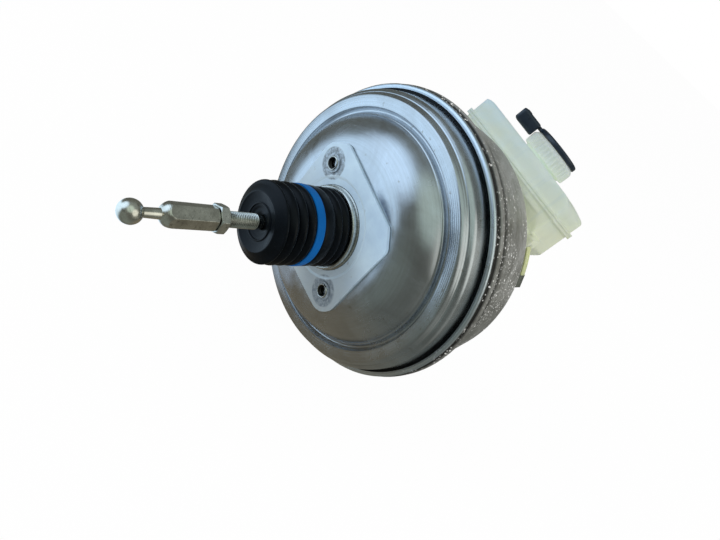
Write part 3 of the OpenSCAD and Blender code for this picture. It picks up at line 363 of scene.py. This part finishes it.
def plastic(name, color, rough=(0.35, 0.5), grain=900, depth=0.00003, shade=0.75, **sockets):
    """Moulded plastic: slightly uneven colour and gloss, soft edges and a fine grain."""
    m = Look(name, color, rough[0], 0.0, **sockets)
    soft = m.noise(46, 4, 0.6)
    dark = tuple(shade * x for x in color)
    base = m.mix(m.fit(soft, 0.3, 0.7, 0, 1), dark, color)
    m.color(m.mix(m.fit(m.noise(380, 4, 0.7), 0.64, 0.74, 0, 0.35), base, tuple(0.6 * x for x in color)))
    m.rough(m.fit(soft, 0.3, 0.7, *rough))
    m.soften(0.0006)
    return m.bump(m.noise(grain, 3, 0.5), depth).mat


def milky(name, high, low, edge, marks=1.0):
    """Natural translucent plastic: cool above and yellower below, with faint upright flow marks and a
    painted glow in its corners. Its edges are softened over edge metres."""
    m = Look(name, high, 0.34, 0.0, **{
        "Subsurface Weight": 0.45, "Subsurface Scale": 0.005,
        "Subsurface Radius": (1.0, 1.0, 0.75), "Specular IOR Level": 0.4})
    slope = m.math("SUBTRACT", m.place("Z"), m.math("MULTIPLY", m.place("X"), 0.5))
    base = m.mix(m.fit(slope, 0.045, 0.150, 0, 1), low, high)
    drift = m.noise(24, 4, 0.55, None, 0.7)
    base = m.mix(m.fit(drift, 0.35, 0.7, 0, 0.5), base, tuple(0.82 * x for x in low))
    flow = m.noise(1, 4, 0.6, m.stretched((210, 9, 9)))
    base = m.mix(m.fit(flow, 0.52, 0.68, 0, 0.18), base, tuple(0.78 * x for x in high))
    m.color(m.mix(m.fit(m.noise(240, 5, 0.7), 0.64, 0.76, 0, 0.3), base, tuple(0.7 * x for x in low)))
    m.rough(m.fit(drift, 0.3, 0.7, 0.28, 0.46))
    # painted light: a faint glow in the lower colour, in the corners and grooves
    m.glow(m.mix(m.crevice(0.030, 0.25, 0.85), (0, 0, 0), low), 0.22)
    m.soften(edge)
    m.bump(flow, 0.00010 * marks).bump(m.noise(70, 3, 0.5), 0.00012 * marks)
    return m.bump(m.noise(700, 3), 0.00002).mat


def cast(name, dark, light):
    """Sand-blasted casting."""
    m = Look(name, light, 0.5, 0.85)
    cloud = m.noise(60, 5, 0.65)
    pits = m.noise(1100, 4, 0.6)
    base = m.mix(m.fit(cloud, 0.3, 0.7, 0, 1), dark, light)
    # painted shade: the corners darkened through ambient occlusion
    m.color(m.mix(m.math("MULTIPLY", m.crevice(0.004), 0.6), base, tuple(0.3 * x for x in dark)))
    m.rough(m.fit(pits, 0.3, 0.7, 0.42, 0.62))
    m.soften(0.0008)
    return m.bump(pits, 0.00012).mat


def felt():
    """Pressed fibre of the filter and the silencer."""
    m = Look("felt", (0.36, 0.35, 0.31), 0.9, 0.0, **{"Sheen Weight": 0.4})
    fibre = m.noise(700, 6, 0.7, m.stretched((1, 3, 1)), 2.0)
    m.color(m.mix(m.fit(fibre, 0.3, 0.7, 0, 1), (0.16, 0.155, 0.13), (0.44, 0.42, 0.37)))
    return m.bump(fibre, 0.0004).mat


def cork():
    """Fine-celled cork of the float."""
    m = Look("cork", (0.52, 0.34, 0.16), 0.8)
    grain = m.cells(520)
    m.color(m.mix(m.fit(grain, 0.1, 0.6, 0, 1), (0.28, 0.16, 0.07), (0.60, 0.42, 0.22)))
    return m.bump(grain, 0.0003).mat


SHELL = polished_shell()
DUSTY = dusty_shell()
PLATE = plate_coat()
ZINC = plated("zinc", (0.50, 0.495, 0.45), (0.82, 0.83, 0.78), (0.17, 0.30))
BALL = plated("ball_plating", (0.48, 0.46, 0.40), (0.80, 0.775, 0.69), (0.12, 0.24))
STEEL = plated("steel", (0.28, 0.275, 0.26), (0.44, 0.44, 0.42), (0.26, 0.4))
COLLAR = plated("collar_steel", (0.46, 0.46, 0.43), (0.70, 0.71, 0.68), (0.2, 0.32), 0.005, 0.95)
# painted shade: a near-black plating for the inside of the threaded bores
BORE_PAINTED_SHADE = plated("bore_painted_shade", (0.035, 0.034, 0.032), (0.09, 0.088, 0.082), (0.3, 0.45))
YELLOW = plated("yellow_zinc", (0.55, 0.45, 0.22), (0.74, 0.64, 0.34), (0.3, 0.42))
ANODISED = plated("anodised", (0.50, 0.42, 0.24), (0.68, 0.59, 0.36), (0.3, 0.42))
RUBBER = rubber()
BLUE = plastic("band_blue", (0.0015, 0.125, 0.420), (0.40, 0.52), 700, 0.00004, 0.8, **{
    "Specular IOR Level": 0.12})
BLACK = plastic("plastic_black", (0.012, 0.023, 0.040), (0.22, 0.36), 620, 0.00003, 0.6)
GREY = plastic("plastic_grey", (0.10, 0.105, 0.11))
CREAM = plastic("plastic_cream", (0.70, 0.66, 0.54))
STRAP = plastic("strap_yellow", (0.60, 0.64, 0.34), (0.36, 0.5), 500, 0.00005, 0.85, **{
    "Subsurface Weight": 0.3, "Subsurface Scale": 0.004, "Subsurface Radius": (1.0, 1.0, 0.7)})
MILKY = milky("tank_milky", (0.52, 0.69, 0.79), (0.76, 0.81, 0.62), 0.0035)
RING = milky("cap_milky", (0.50, 0.62, 0.66), (0.78, 0.81, 0.69), 0.0005, 0.25)
CAST = cast("cast_alloy", (0.36, 0.36, 0.35), (0.54, 0.54, 0.53))

FINISH = {
    "rear_shell": SHELL, "front_shell": DUSTY, "firewall_plate": PLATE, "neck_ring": COLLAR,
    "tie_bolts": ZINC, "guide_bearing": CREAM, "guide_seal": RUBBER, "diaphragm": RUBBER,
    "diaphragm_plate": YELLOW, "valve_body": GREY, "tie_seals": RUBBER, "stop_key": STEEL,
    "air_filter": felt(), "silencer": felt(), "reaction_disc": RUBBER, "output_rod": STEEL,
    "return_spring": STEEL, "poppet_valve": RUBBER, "poppet_spring": STEEL,
    "poppet_retainer": YELLOW, "valve_plunger": STEEL, "rod_spring": STEEL, "input_rod": ZINC,
    "jam_nut": ZINC, "ball_sleeve": BALL, "boot": RUBBER, "boot_band": BLUE,
    "check_grommet": RUBBER, "check_valve": BLACK, "check_disc": RUBBER, "check_spring": STEEL,
    "mc_seal": RUBBER, "mc_body": CAST, "mc_nuts": ZINC, "mc_guide": GREY, "snap_ring": STEEL,
    "primary_piston": ANODISED, "primary_cups": RUBBER, "primary_spring": STEEL,
    "secondary_piston": ANODISED, "secondary_cups": RUBBER, "secondary_spring": STEEL,
    "port_grommets": RUBBER, "reservoir_lower": MILKY, "reservoir_upper": MILKY,
    "strainer": CREAM, "hold_down_strap": STRAP, "strap_tab": ZINC, "cap_ring": RING,
    "cap_seal": RUBBER, "level_sensor": BLACK, "sensor_stem": GREY, "float": cork(),
}
for name, obj in NODES.items():
    obj.data.materials.clear()
    obj.data.materials.append(FINISH[name])


# ---------------------------------------------------------------- mesh helpers
def thread_depth(y, turn, pitch):
    """Share of the thread's depth at a place along the axis, for a turn from 0 to 1."""
    phase = (y / pitch - turn) % 1.0
    return np.clip(abs(2 * phase - 1) * 1.3 - 0.15, 0, 1)


def lathe(name, rings, material, body, at=(0, 0), segments=96, sharp=32):
    """A turned mesh about +Y from rings [radius, y] in mm. A third and fourth number cut a helical thread
    of that depth and pitch into the ring, inward from the radius, or outward if the depth is negative."""
    turns = np.arange(segments) / segments
    points, rows = [], []
    for ring in rings:
        r, y = ring[:2]
        start = len(points)
        if r < 1e-6:
            points.append((at[0], y, at[1]))
            rows.append([start] * segments)
            continue
        for t in turns:
            q = r - ring[2] * thread_depth(y, t, ring[3]) if len(ring) > 2 else r
            a = 2 * math.pi * t
            points.append((at[0] + q * math.cos(a), y, at[1] + q * math.sin(a)))
        rows.append(list(range(start, start + segments)))
    faces = []
    for low, high in zip(rows, rows[1:]):
        for i in range(segments):
            k = (i + 1) % segments
            face = list(dict.fromkeys((low[i], high[i], high[k], low[k])))
            if len(face) > 2:
                faces.append(face)
    return piece(name, points, faces, material, body, sharp)


def piece(name, points, faces, material, body, sharp=32):
    """A named mesh from points in mm, on a CAD body."""
    mesh = bpy.data.meshes.new(name)
    mesh.from_pydata([tuple(MM * c for c in p) for p in points], [], faces)
    mesh.materials.append(material)
    mesh.shade_smooth()
    mesh.set_sharp_from_angle(angle=math.radians(sharp))
    obj = bpy.data.objects.new(name, mesh)
    bpy.context.scene.collection.objects.link(obj)
    if body:
        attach(obj, body)
    return obj


def threaded(r, y0, y1, depth, pitch, per_turn=10):
    """Rings of a threaded stretch, with the thread fading out at both ends."""
    n = max(2, int(round(abs(y1 - y0) / pitch * per_turn)))
    out = []
    for i in range(n + 1):
        y = y0 + (y1 - y0) * i / n
        fade = min(1.0, 1.4 * min(i, n - i) / per_turn)
        out.append((r, y, depth * fade, pitch))
    return out


def coil(name, material, body, r0, r1, y0, y1, turns, wire, closed=0.75):
    """A wound spring with closed ends."""
    per_turn, sides = 40, 12
    n = int(turns * per_turn)
    points, faces = [], []
    for i in range(n + 1):
        t = i / n
        edge = closed / turns
        lift = min(max((t - edge) / (1 - 2 * edge), 0), 1)
        lift = 0.85 * lift + 0.15 * (t - math.sin(2 * math.pi * t) / (2 * math.pi))
        r = r0 + (r1 - r0) * t
        y = y0 + wire + (y1 - y0 - 2 * wire) * lift
        a = 2 * math.pi * turns * t
        for j in range(sides):
            b = 2 * math.pi * j / sides
            q = r + wire * math.cos(b)
            points.append((q * math.cos(a), y + wire * math.sin(b), q * math.sin(a)))
    for i in range(n):
        for j in range(sides):
            k = (j + 1) % sides
            faces.append((i * sides + j, i * sides + k, (i + 1) * sides + k, (i + 1) * sides + j))
    faces.append(tuple(range(sides)))
    faces.append(tuple(n * sides + j for j in reversed(range(sides))))
    return piece(name, points, faces, material, body, 60)


# ---------------------------------------------------------------- boot
BOOT_R, VALLEY_R, ROOT_R, SEAT_R = 31.6, 27.2, 28.7, 30.7
BOOT_BACK, BOOT_FRONT = -71.0, -5.6


def lobe(y0, y1, low, crest=BOOT_R, n=18):
    """One bellows lobe from a valley at y0 to a valley at y1, fuller towards the plate."""
    return [(low + (crest - low) * math.sin(math.pi * (i / n) ** 1.4) ** 0.6, y0 + (y1 - y0) * i / n)
            for i in range(n + 1)]


def arc(r, y, radius, a0, a1, n):
    """Points [radius, y] on an arc; angle 0 points away from the axis, 90 along +Y."""
    out = []
    for i in range(n + 1):
        a = math.radians(a0 + (a1 - a0) * i / n)
        out.append((r + radius * math.cos(a), y + radius * math.sin(a)))
    return out


boot_rings = (
    [(5.4, -62.6), (5.4, -66.2), (5.8, -66.7), (9.4, -67.0), (11.2, -67.4), (12.5, -68.4)]
    + arc(13.7, -68.5, 0.8, 170, 350, 8)
    + [(15.4, -68.7), (18, -69.5), (20.6, -70.35)]
    + arc(22.4, -69.6, 1.4, 236, 300, 6)
    + [(26.6, -68.7), (29.4, -67.0)]
    + arc(29.9, -65.6, 1.3, 305, 395, 8)
    + [(29.8, -64.3), (28.0, -63.9)]
    + lobe(-63.7, -54.0, VALLEY_R)
    + lobe(-54.0, -45.8, VALLEY_R)
    + lobe(-45.8, -38.6, VALLEY_R, 31.4)[:14]
    + [(31.2, -39.8), (SEAT_R, -39.0), (SEAT_R, -31.2), (31.2, -30.6), (31.6, -28.4), (31.6, -26.0)]
    + lobe(-34.0, -18.6, ROOT_R)[10:]
    + lobe(-18.6, -12.0, ROOT_R)
    + lobe(-12.0, -5.0, ROOT_R)[:14]
    + [(30.9, BOOT_FRONT + 0.05), (27.05, BOOT_FRONT)]
)
boot = lathe("boot_bellows", boot_rings, RUBBER, "housing", segments=144, sharp=50)
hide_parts("boot")
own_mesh(boot)

# ---------------------------------------------------------------- push rod with its rolled thread
rod_rings = (
    [(0, -117.5), (5.0, -117.5)]
    + threaded(6.0, -117.0, -72.2, 0.95, 1.5)
    + [(5.9, -71.9), (5.6, -71.0), (5.0, -70.5), (5.0, -42.4), (3.6, -41.0), (3.6, 12.4)]
    + arc(0, 16, 5, -43, 90, 12)[:-1]
    + [(0, 21)]
)
rod = lathe("rod_threaded", rod_rings, ZINC, "push_rod", segments=64, sharp=40)
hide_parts("input_rod")

# ---------------------------------------------------------------- tie bolts with threaded studs and bores
bolt_rings = (
    [(4.9, -1.2), (4.9, -1.5), (5.3, -1.6), (5.8, -1.1), (5.8, 4.3), (8.2, 4.3), (8.2, 7.3), (5.8, 7.3),
     (5.8, 136.2), (8.2, 136.2), (8.2, 139.2), (4, 139.2), (4, 150)]
    + threaded(4.0, 150.4, 164.2, 0.6, 1.25)
    + [(3.3, 165), (0, 165)]
)
bore_rings = (
    [(0, 22.6), (4.2, 22.4)]
    + list(reversed(threaded(4.25, -0.8, 21.6, -0.62, 1.5)))
    + [(4.75, -1.15), (4.9, -1.2)]
)
for label, at in TIES.items():
    bolt = lathe("tie_bolt_" + label, bolt_rings, ZINC, "housing", at, 56, 40)
    # the bore's inside carries painted shade
    bore = lathe("tie_thread_" + label, bore_rings, BORE_PAINTED_SHADE, "housing", at, 56, 40)
    if label == "upper":
        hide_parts("tie_bolts")

# ---------------------------------------------------------------- rear shell
DOME_R, DOME_FROM, DOME_Y = 38.9126, 60.0, 41.4126
RAISED = [101.5 + 0.15 * i for i in range(77)]
TURNED_LINES = (103.4, 105.2, 107.0, 108.8, 110.6)


def raised_y(r):
    """The raised ring that runs round the dished centre, with fine turned lines."""
    groove = sum(max(0.0, 1 - abs(r - at) / 0.4) for at in TURNED_LINES)
    return 25.25 + 0.35 * ((r - 105.6) / 5.2) ** 2 + 3.9 * (max(0.0, r - 110.4) / 2.9) ** 2 + 0.09 * groove


shell_rings = (
    [(27.0, -24.0), (27.0, 0.9), (27.5, 1.9), (28.6, 2.45), (29.8, 2.5), (48.0, 2.5)]
    + arc(DOME_FROM, DOME_Y, DOME_R, -90, -25.4, 48)
    + [(95.35, 24.75), (95.72, 25.05), (96.05, 25.6), (96.35, 26.6), (96.7, 28.4), (97.2, 29.5),
       (98.0, 30.0), (98.9, 29.9), (99.6, 29.2), (100.2, 28.0), (100.8, 26.9), (101.4, 26.25)]
    + [(r, raised_y(r)) for r in RAISED]
    + [(113.25, 29.3), (113.45, 29.9), (113.75, 30.9), (114.05, 31.2), (114.4, 31.15), (114.8, 31.45)]
    + arc(111.5, 36.9, 6.2, -52, -4, 14)
    + [(117.85, 38.6), (118.1, 41.5), (118.25, 45.0), (118.3, 48.6), (118.6, 50.2), (119.5, 51.1),
       (120.8, 51.1), (120.8, 52.9), (118.6, 52.9), (116.2, 50.0), (116.0, 41.0), (115.5, 36.8),
       (113.6, 33.2), (111.5, 31.6), (109.7, 29.6), (105.1, 27.6), (102.8, 29.4), (99.0, 32.1),
       (95.3, 30.3)]
    + list(reversed(arc(DOME_FROM, DOME_Y + 0.4, DOME_R - 1.4, -90, -24, 24)))
    + [(28.0, 4.3), (25.2, 1.4), (25.2, -24.0), (27.0, -24.0)]
)
shell = lathe("rear_shell_spun", shell_rings, SHELL, "housing", segments=320, sharp=60)
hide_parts("rear_shell")

# ---------------------------------------------------------------- filler cap and level sensor
TILT, CAP_X, CAP_V, CAP_U = math.radians(18), 4.0, 140.0, 163.7


def at_filler(x, v, u):
    """A place beside the filler's own axis, u up from the underside of the cap."""
    v, u = v + CAP_V, u + CAP_U
    return (x + CAP_X, v * math.cos(TILT) + u * math.sin(TILT), -v * math.sin(TILT) + u * math.cos(TILT))


def sides_of(rows):
    """The points of rows of equal length, and the faces between each row and the next."""
    count = len(rows[0])
    faces = []
    for i in range(len(rows) - 1):
        for j in range(count):
            k = (j + 1) % count
            faces.append((i * count + j, (i + 1) * count + j, (i + 1) * count + k, i * count + k))
    return [p for row in rows for p in row], faces


def loft(name, rows, material, body, sharp=40):
    """A skin over rows of points, closed by a fan at both ends."""
    count = len(rows[0])
    points, faces = sides_of(rows)
    for row, first, flip in ((rows[0], 0, 1), (rows[-1], (len(rows) - 1) * count, -1)):
        points.append(tuple(sum(p[c] for p in row) / count for c in range(3)))
        for j in range(count):
            face = (first + j, first + (j + 1) % count, len(points) - 1)
            faces.append(face[::flip])
    return piece(name, points, faces, material, body, sharp)


def ring_at_filler(r, u, ribs=0.0, turns=288, count=36):
    """A ring round the filler's axis with soft ribs of the given height."""
    out = []
    for i in range(turns):
        a = 2 * math.pi * i / turns
        q = r + ribs * (0.5 + 0.5 * math.cos(count * a)) ** 1.4
        out.append(at_filler(q * math.cos(a), q * math.sin(a), u))
    return out


cap_rows = [ring_at_filler(*ring) for ring in (
    (22.3, 0.1), (24.2, 0.0), (24.7, 0.25, 0.5), (24.9, 0.8, 0.8), (25.0, 3.0, 0.8), (25.0, 6.0, 0.8),
    (25.0, 9.0, 0.8), (25.0, 10.4, 0.8), (24.85, 11.2, 0.7), (24.5, 11.9, 0.5), (23.9, 12.8, 0.25),
    (23.3, 13.5, 0.1), (22.8, 13.85), (22.1, 14.0), (20.1, 14.0), (19.8, 13.8), (19.8, 10.1), (22.1, 10.0),
    (22.1, 0.4), (22.3, 0.1))]
cap = piece("cap_ring_ribbed", *sides_of(cap_rows), RING, "cap", 50)
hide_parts("cap_ring")

# The sensor is drawn about its own arm: x along the arm, v across it
ARM = math.radians(207)


def on_arm(x, v, u):
    return at_filler(x * math.cos(ARM) - v * math.sin(ARM), x * math.sin(ARM) + v * math.cos(ARM), u)


def box_row(x, width, low_u, high_u, radius, n=6):
    """A rounded rectangle across the arm."""
    out = []
    radius = min(radius, width / 2 - 0.01, (high_u - low_u) / 2 - 0.01)
    for side, height, start in ((1, 1, 0), (-1, 1, 90), (-1, -1, 180), (1, -1, 270)):
        cv = side * (width / 2 - radius)
        cu = (low_u + high_u) / 2 + height * ((high_u - low_u) / 2 - radius)
        for i in range(n + 1):
            a = math.radians(start + 90 * i / n)
            out.append(on_arm(x, cv + radius * math.cos(a), cu + radius * math.sin(a)))
    return out


def housing_row(x, inset, radius):
    return box_row(x, 15 - 2 * inset, 5.2 + inset, 18.2 - inset, radius)


head_rows = [ring_at_filler(r, u) for r, u in (
    [(19.4, -0.1), (19.5, 0.2), (19.5, 14.2), (19.7, 14.32), (23.3, 14.3), (23.8, 14.5), (24.0, 15.0),
     (24.0, 17.4), (23.9, 17.9), (23.5, 18.4), (22.8, 18.7)]
    + [(22.8 * math.cos(math.radians(a)), 18.7 + 1.1 * math.sin(math.radians(a)))
       for a in range(6, 90, 6)])]
head = loft("sensor_head", head_rows, BLACK, "sensor", 50)
arm_rows = [box_row(x, width, 14.3, 17.5, 1.1) for x, width in
            ((21.5, 13.0), (23.0, 11.6), (24.5, 10.4), (26.0, 10.0), (29.0, 10.0))]
arm = loft("sensor_arm", arm_rows, BLACK, "sensor")
plug_rows = [housing_row(*row) for row in (
    (26.45, 1.6, 1.8), (26.6, 0.9, 2.2), (27.0, 0.4, 2.6), (27.8, 0.1, 2.9), (29.0, 0.0, 3.0),
    (44.6, 0.0, 3.0), (46.2, 0.15, 2.9), (47.3, 0.5, 2.7), (48.0, 0.95, 2.4), (48.3, 1.3, 2.1),
    (48.4, 1.6, 1.8), (48.1, 1.8, 1.6), (34.5, 1.8, 1.4))]
plug = loft("sensor_plug", plug_rows, BLACK, "sensor")
latch_rows = [box_row(x, width, 16.9, top, 0.6) for x, width, top in
              ((39.4, 3.4, 18.0), (39.8, 4.6, 18.5), (40.4, 5.0, 18.75), (44.6, 5.0, 18.8),
               (45.4, 4.6, 18.5), (45.8, 3.6, 17.9))]
latch = loft("sensor_latch", latch_rows, BLACK, "sensor")
for side in (-1, 1):
    pin_rows = [[on_arm(x, 2.6 * side + dv * half, 12.7 + du * half) for dv, du in
                 ((-1, -0.5), (1, -0.5), (1, 0.5), (-1, 0.5))]
                for x, half in ((34.4, 0.8), (43.6, 0.8), (44.2, 0.4))]
    pin = loft("sensor_pin_" + ("left" if side < 0 else "right"), pin_rows, ZINC, "sensor", 30)
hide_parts("level_sensor")

# ---------------------------------------------------------------- diaphragm: clamped bead and rolling skin
bead_rings = [(114.5, 52.95), (120.85, 52.95), (120.85, 51.05), (119.7, 51.05), (118.6, 49.9),
              (121.8, 49.9), (122.4, 50.4), (122.4, 55.2), (122.0, 55.55), (114.5, 55.55), (114.5, 52.95)]
bead = lathe("diaphragm_bead", bead_rings, RUBBER, "housing", segments=144)
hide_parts("diaphragm")
THICK, LEG_FROM = 1.7, 101
skin_line = ([(45.2, 23.1), (48.2, 23.1)] + arc(48, 45, 21.8, -80, -42, 6) + [(90.5, 34.6), (99.6, 34.6)]
             + arc(101.2, 38.6, 2.6, -60, 0, 4) + [(103.8, 43)])
skin_roll = arc(109.45, 54.15, 5.65, 180, 0, 12)
skin_back = [(r - THICK, y) if r > LEG_FROM else (r, y + THICK) for r, y in reversed(skin_line)]
skin_rings = skin_line + skin_roll + skin_back + [skin_line[0]]
skin = lathe("diaphragm_skin", skin_rings, RUBBER, None, segments=96)
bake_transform(skin)

# ---------------------------------------------------------------- wound springs, each on a mesh of its own
big = coil("return_coil", STEEL, "housing", 39, 31.5, 26.8, 139.0, 6, 2.1)
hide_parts("return_spring")
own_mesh(big)
front = coil("secondary_coil", STEEL, "housing", 8, 8, 229.1, 271.9, 6, 1.1)
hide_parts("secondary_spring")
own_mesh(front)
back = coil("primary_coil", STEEL, "primary", 8, 8, 159.1, 198.9, 6, 1.1)
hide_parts("primary_spring")
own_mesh(back)

# ---------------------------------------------------------------- floor and light
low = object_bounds()[0].z
FLOOR_HALF = 9000


def seen(tree, amount):
    """amount for rays from the camera and from gloss or glass, and 0 for the rest."""
    path = tree.nodes.new("ShaderNodeLightPath")
    last = path.outputs["Is Camera Ray"]
    for key in ("Is Glossy Ray", "Is Transmission Ray"):
        add = tree.nodes.new("ShaderNodeMath")
        add.operation = "MAXIMUM"
        tree.links.new(last, add.inputs[0])
        tree.links.new(path.outputs[key], add.inputs[1])
        last = add.outputs[0]
    scaled = tree.nodes.new("ShaderNodeMath")
    scaled.operation = "MULTIPLY"
    scaled.inputs[1].default_value = amount
    tree.links.new(last, scaled.inputs[0])
    return scaled.outputs[0]


def backdrop():
    """White floor: plain to the lamps, and near white to the camera, with the object's shadow kept."""
    m = bpy.data.materials.new("floor_white")
    m.use_nodes = True
    tree = m.node_tree
    tree.nodes.clear()
    out = tree.nodes.new("ShaderNodeOutputMaterial")
    plain = tree.nodes.new("ShaderNodeBsdfDiffuse")
    plain.inputs["Color"].default_value = (0.95, 0.95, 0.95, 1)
    glow = tree.nodes.new("ShaderNodeEmission")
    share = seen(tree, 0.97)
    mixed = tree.nodes.new("ShaderNodeMixShader")
    tree.links.new(share, mixed.inputs[0])
    tree.links.new(plain.outputs[0], mixed.inputs[1])
    tree.links.new(glow.outputs[0], mixed.inputs[2])
    tree.links.new(mixed.outputs[0], out.inputs[0])
    return m


corners = [(FLOOR_HALF * x, FLOOR_HALF * y, 0) for x, y in ((-1, -1), (1, -1), (1, 1), (-1, 1))]
floor = piece("floor", corners, [(0, 1, 2, 3)], backdrop(), None)
floor.location.z = low - 0.0005

AMBIENT = 0.55
world = bpy.data.worlds.new("studio")
bpy.context.scene.world = world
world.use_nodes = True
tree = world.node_tree
sky = tree.nodes["Background"]
sky.inputs["Color"].default_value = (1, 1, 1, 1)
extra = seen(tree, 1 - AMBIENT)
strength = tree.nodes.new("ShaderNodeMath")
strength.operation = "ADD"
strength.inputs[1].default_value = AMBIENT
tree.links.new(extra, strength.inputs[0])
tree.links.new(strength.outputs[0], sky.inputs["Strength"])


def lamp(name, at, aim, size, watts):
    data = bpy.data.lights.new(name, "AREA")
    data.shape = "DISK"
    data.size = size
    data.energy = watts
    obj = bpy.data.objects.new(name, data)
    bpy.context.scene.collection.objects.link(obj)
    obj.location = at
    obj.rotation_mode = "QUATERNION"
    obj.rotation_quaternion = (Vector(aim) - Vector(at)).to_track_quat("-Z", "Y")
    obj.visible_glossy = False


lamp("key", (-0.80, -1.15, 0.70), (0, 0.02, 0.0), 0.7, 9.0)
lamp("fill", (1.15, 0.20, 0.75), (0, 0.08, 0), 0.8, 4.5)
lamp("rim", (0.5, 1.1, 0.9), (0, 0.1, 0), 0.9, 2.0)


CLOTH = (0.14, 0.15, 0.135)
# Each window: direction from the origin to its middle, the angle up to which it is full, the angle from
# which it is gone, and its colour. A low direction meets the tent's flat ground, so its window lies there.
WINDOWS = [
    ((0.00, 0.00, 1.00), 20, 60, (0.23, 0.26, 0.25)),
    ((0.00, 0.00, -1.00), 20, 64, (0.20, 0.18, 0.135)),
    ((0.35, -0.35, 0.87), 14, 38, (0.60, 0.72, 0.66)),
    ((0.93, 0.37, 0.00), 8, 28, (0.30, 0.31, 0.28)),
    ((0.78, 0.31, 0.54), 16, 33, (1.05, 1.08, 1.00)),
    ((0.35, -0.90, -0.25), 10, 36, (0.20, 0.23, 0.21)),
    ((-0.45, -0.10, -0.89), 7, 20, (0.38, 0.43, 0.48)),
    ((-0.53, -0.61, -0.59), 8, 15, (1.05, 1.32, 1.62)),
    ((-0.58, -0.76, -0.24), 20, 36, (0.95, 1.25, 1.55)),
    ((-0.51, -0.70, 0.50), 15, 36, (1.05, 1.36, 1.70)),
]


def tent(radius=3.2):
    """A grey tent with soft pale windows round the set. Only gloss shows it, so that metal has something
    to mirror; the camera and the light on matt surfaces pass through it."""
    sides, ups = 64, 16
    ground = low + 0.003  # a little above the lowest point of the part, and so above the floor
    points = [(0, 0, ground)]
    for i in range(ups):
        a = math.pi / 2 * i / ups
        for j in range(sides):
            b = 2 * math.pi * j / sides
            points.append((radius * math.cos(a) * math.cos(b), radius * math.cos(a) * math.sin(b),
                           ground + radius * math.sin(a)))
    top = len(points)
    points.append((0, 0, ground + radius))
    faces = []
    for j in range(sides):
        k = (j + 1) % sides
        faces.append((0, 1 + k, 1 + j))
        for i in range(ups - 1):
            near, far = 1 + i * sides, 1 + (i + 1) * sides
            faces.append((near + j, near + k, far + k, far + j))
        faces.append((1 + (ups - 1) * sides + j, 1 + (ups - 1) * sides + k, top))
    m = bpy.data.materials.new("tent_cloth")
    m.use_nodes = True
    m.cycles.emission_sampling = "NONE"
    tree = m.node_tree
    tree.nodes.clear()
    place = tree.nodes.new("ShaderNodeTexCoord").outputs["Object"]
    unit = tree.nodes.new("ShaderNodeVectorMath")
    unit.operation = "NORMALIZE"
    tree.links.new(place, unit.inputs[0])
    color = None
    for toward, inner, outer, rgb in WINDOWS:
        dot = tree.nodes.new("ShaderNodeVectorMath")
        dot.operation = "DOT_PRODUCT"
        tree.links.new(unit.outputs[0], dot.inputs[0])
        dot.inputs[1].default_value = Vector(toward).normalized()
        spread = tree.nodes.new("ShaderNodeMapRange")
        spread.interpolation_type = "SMOOTHSTEP"
        tree.links.new(dot.outputs["Value"], spread.inputs["Value"])
        spread.inputs["From Min"].default_value = math.cos(math.radians(outer))
        spread.inputs["From Max"].default_value = math.cos(math.radians(inner))
        mixed = tree.nodes.new("ShaderNodeMix")
        mixed.data_type = "RGBA"
        tree.links.new(spread.outputs["Result"], mixed.inputs[0])
        if color:
            tree.links.new(color, mixed.inputs[6])
        else:
            mixed.inputs[6].default_value = (*CLOTH, 1)
        mixed.inputs[7].default_value = (*rgb, 1)
        color = mixed.outputs[2]
    glow = tree.nodes.new("ShaderNodeEmission")
    tree.links.new(color, glow.inputs["Color"])
    out = tree.nodes.new("ShaderNodeOutputMaterial")
    tree.links.new(glow.outputs[0], out.inputs[0])
    points = [Vector(p) / MM for p in points]
    obj = piece("tent", points, faces, m, None)
    obj.visible_camera = False
    obj.visible_diffuse = False
    obj.visible_shadow = False
    obj.visible_transmission = False
    obj.visible_volume_scatter = False


tent()
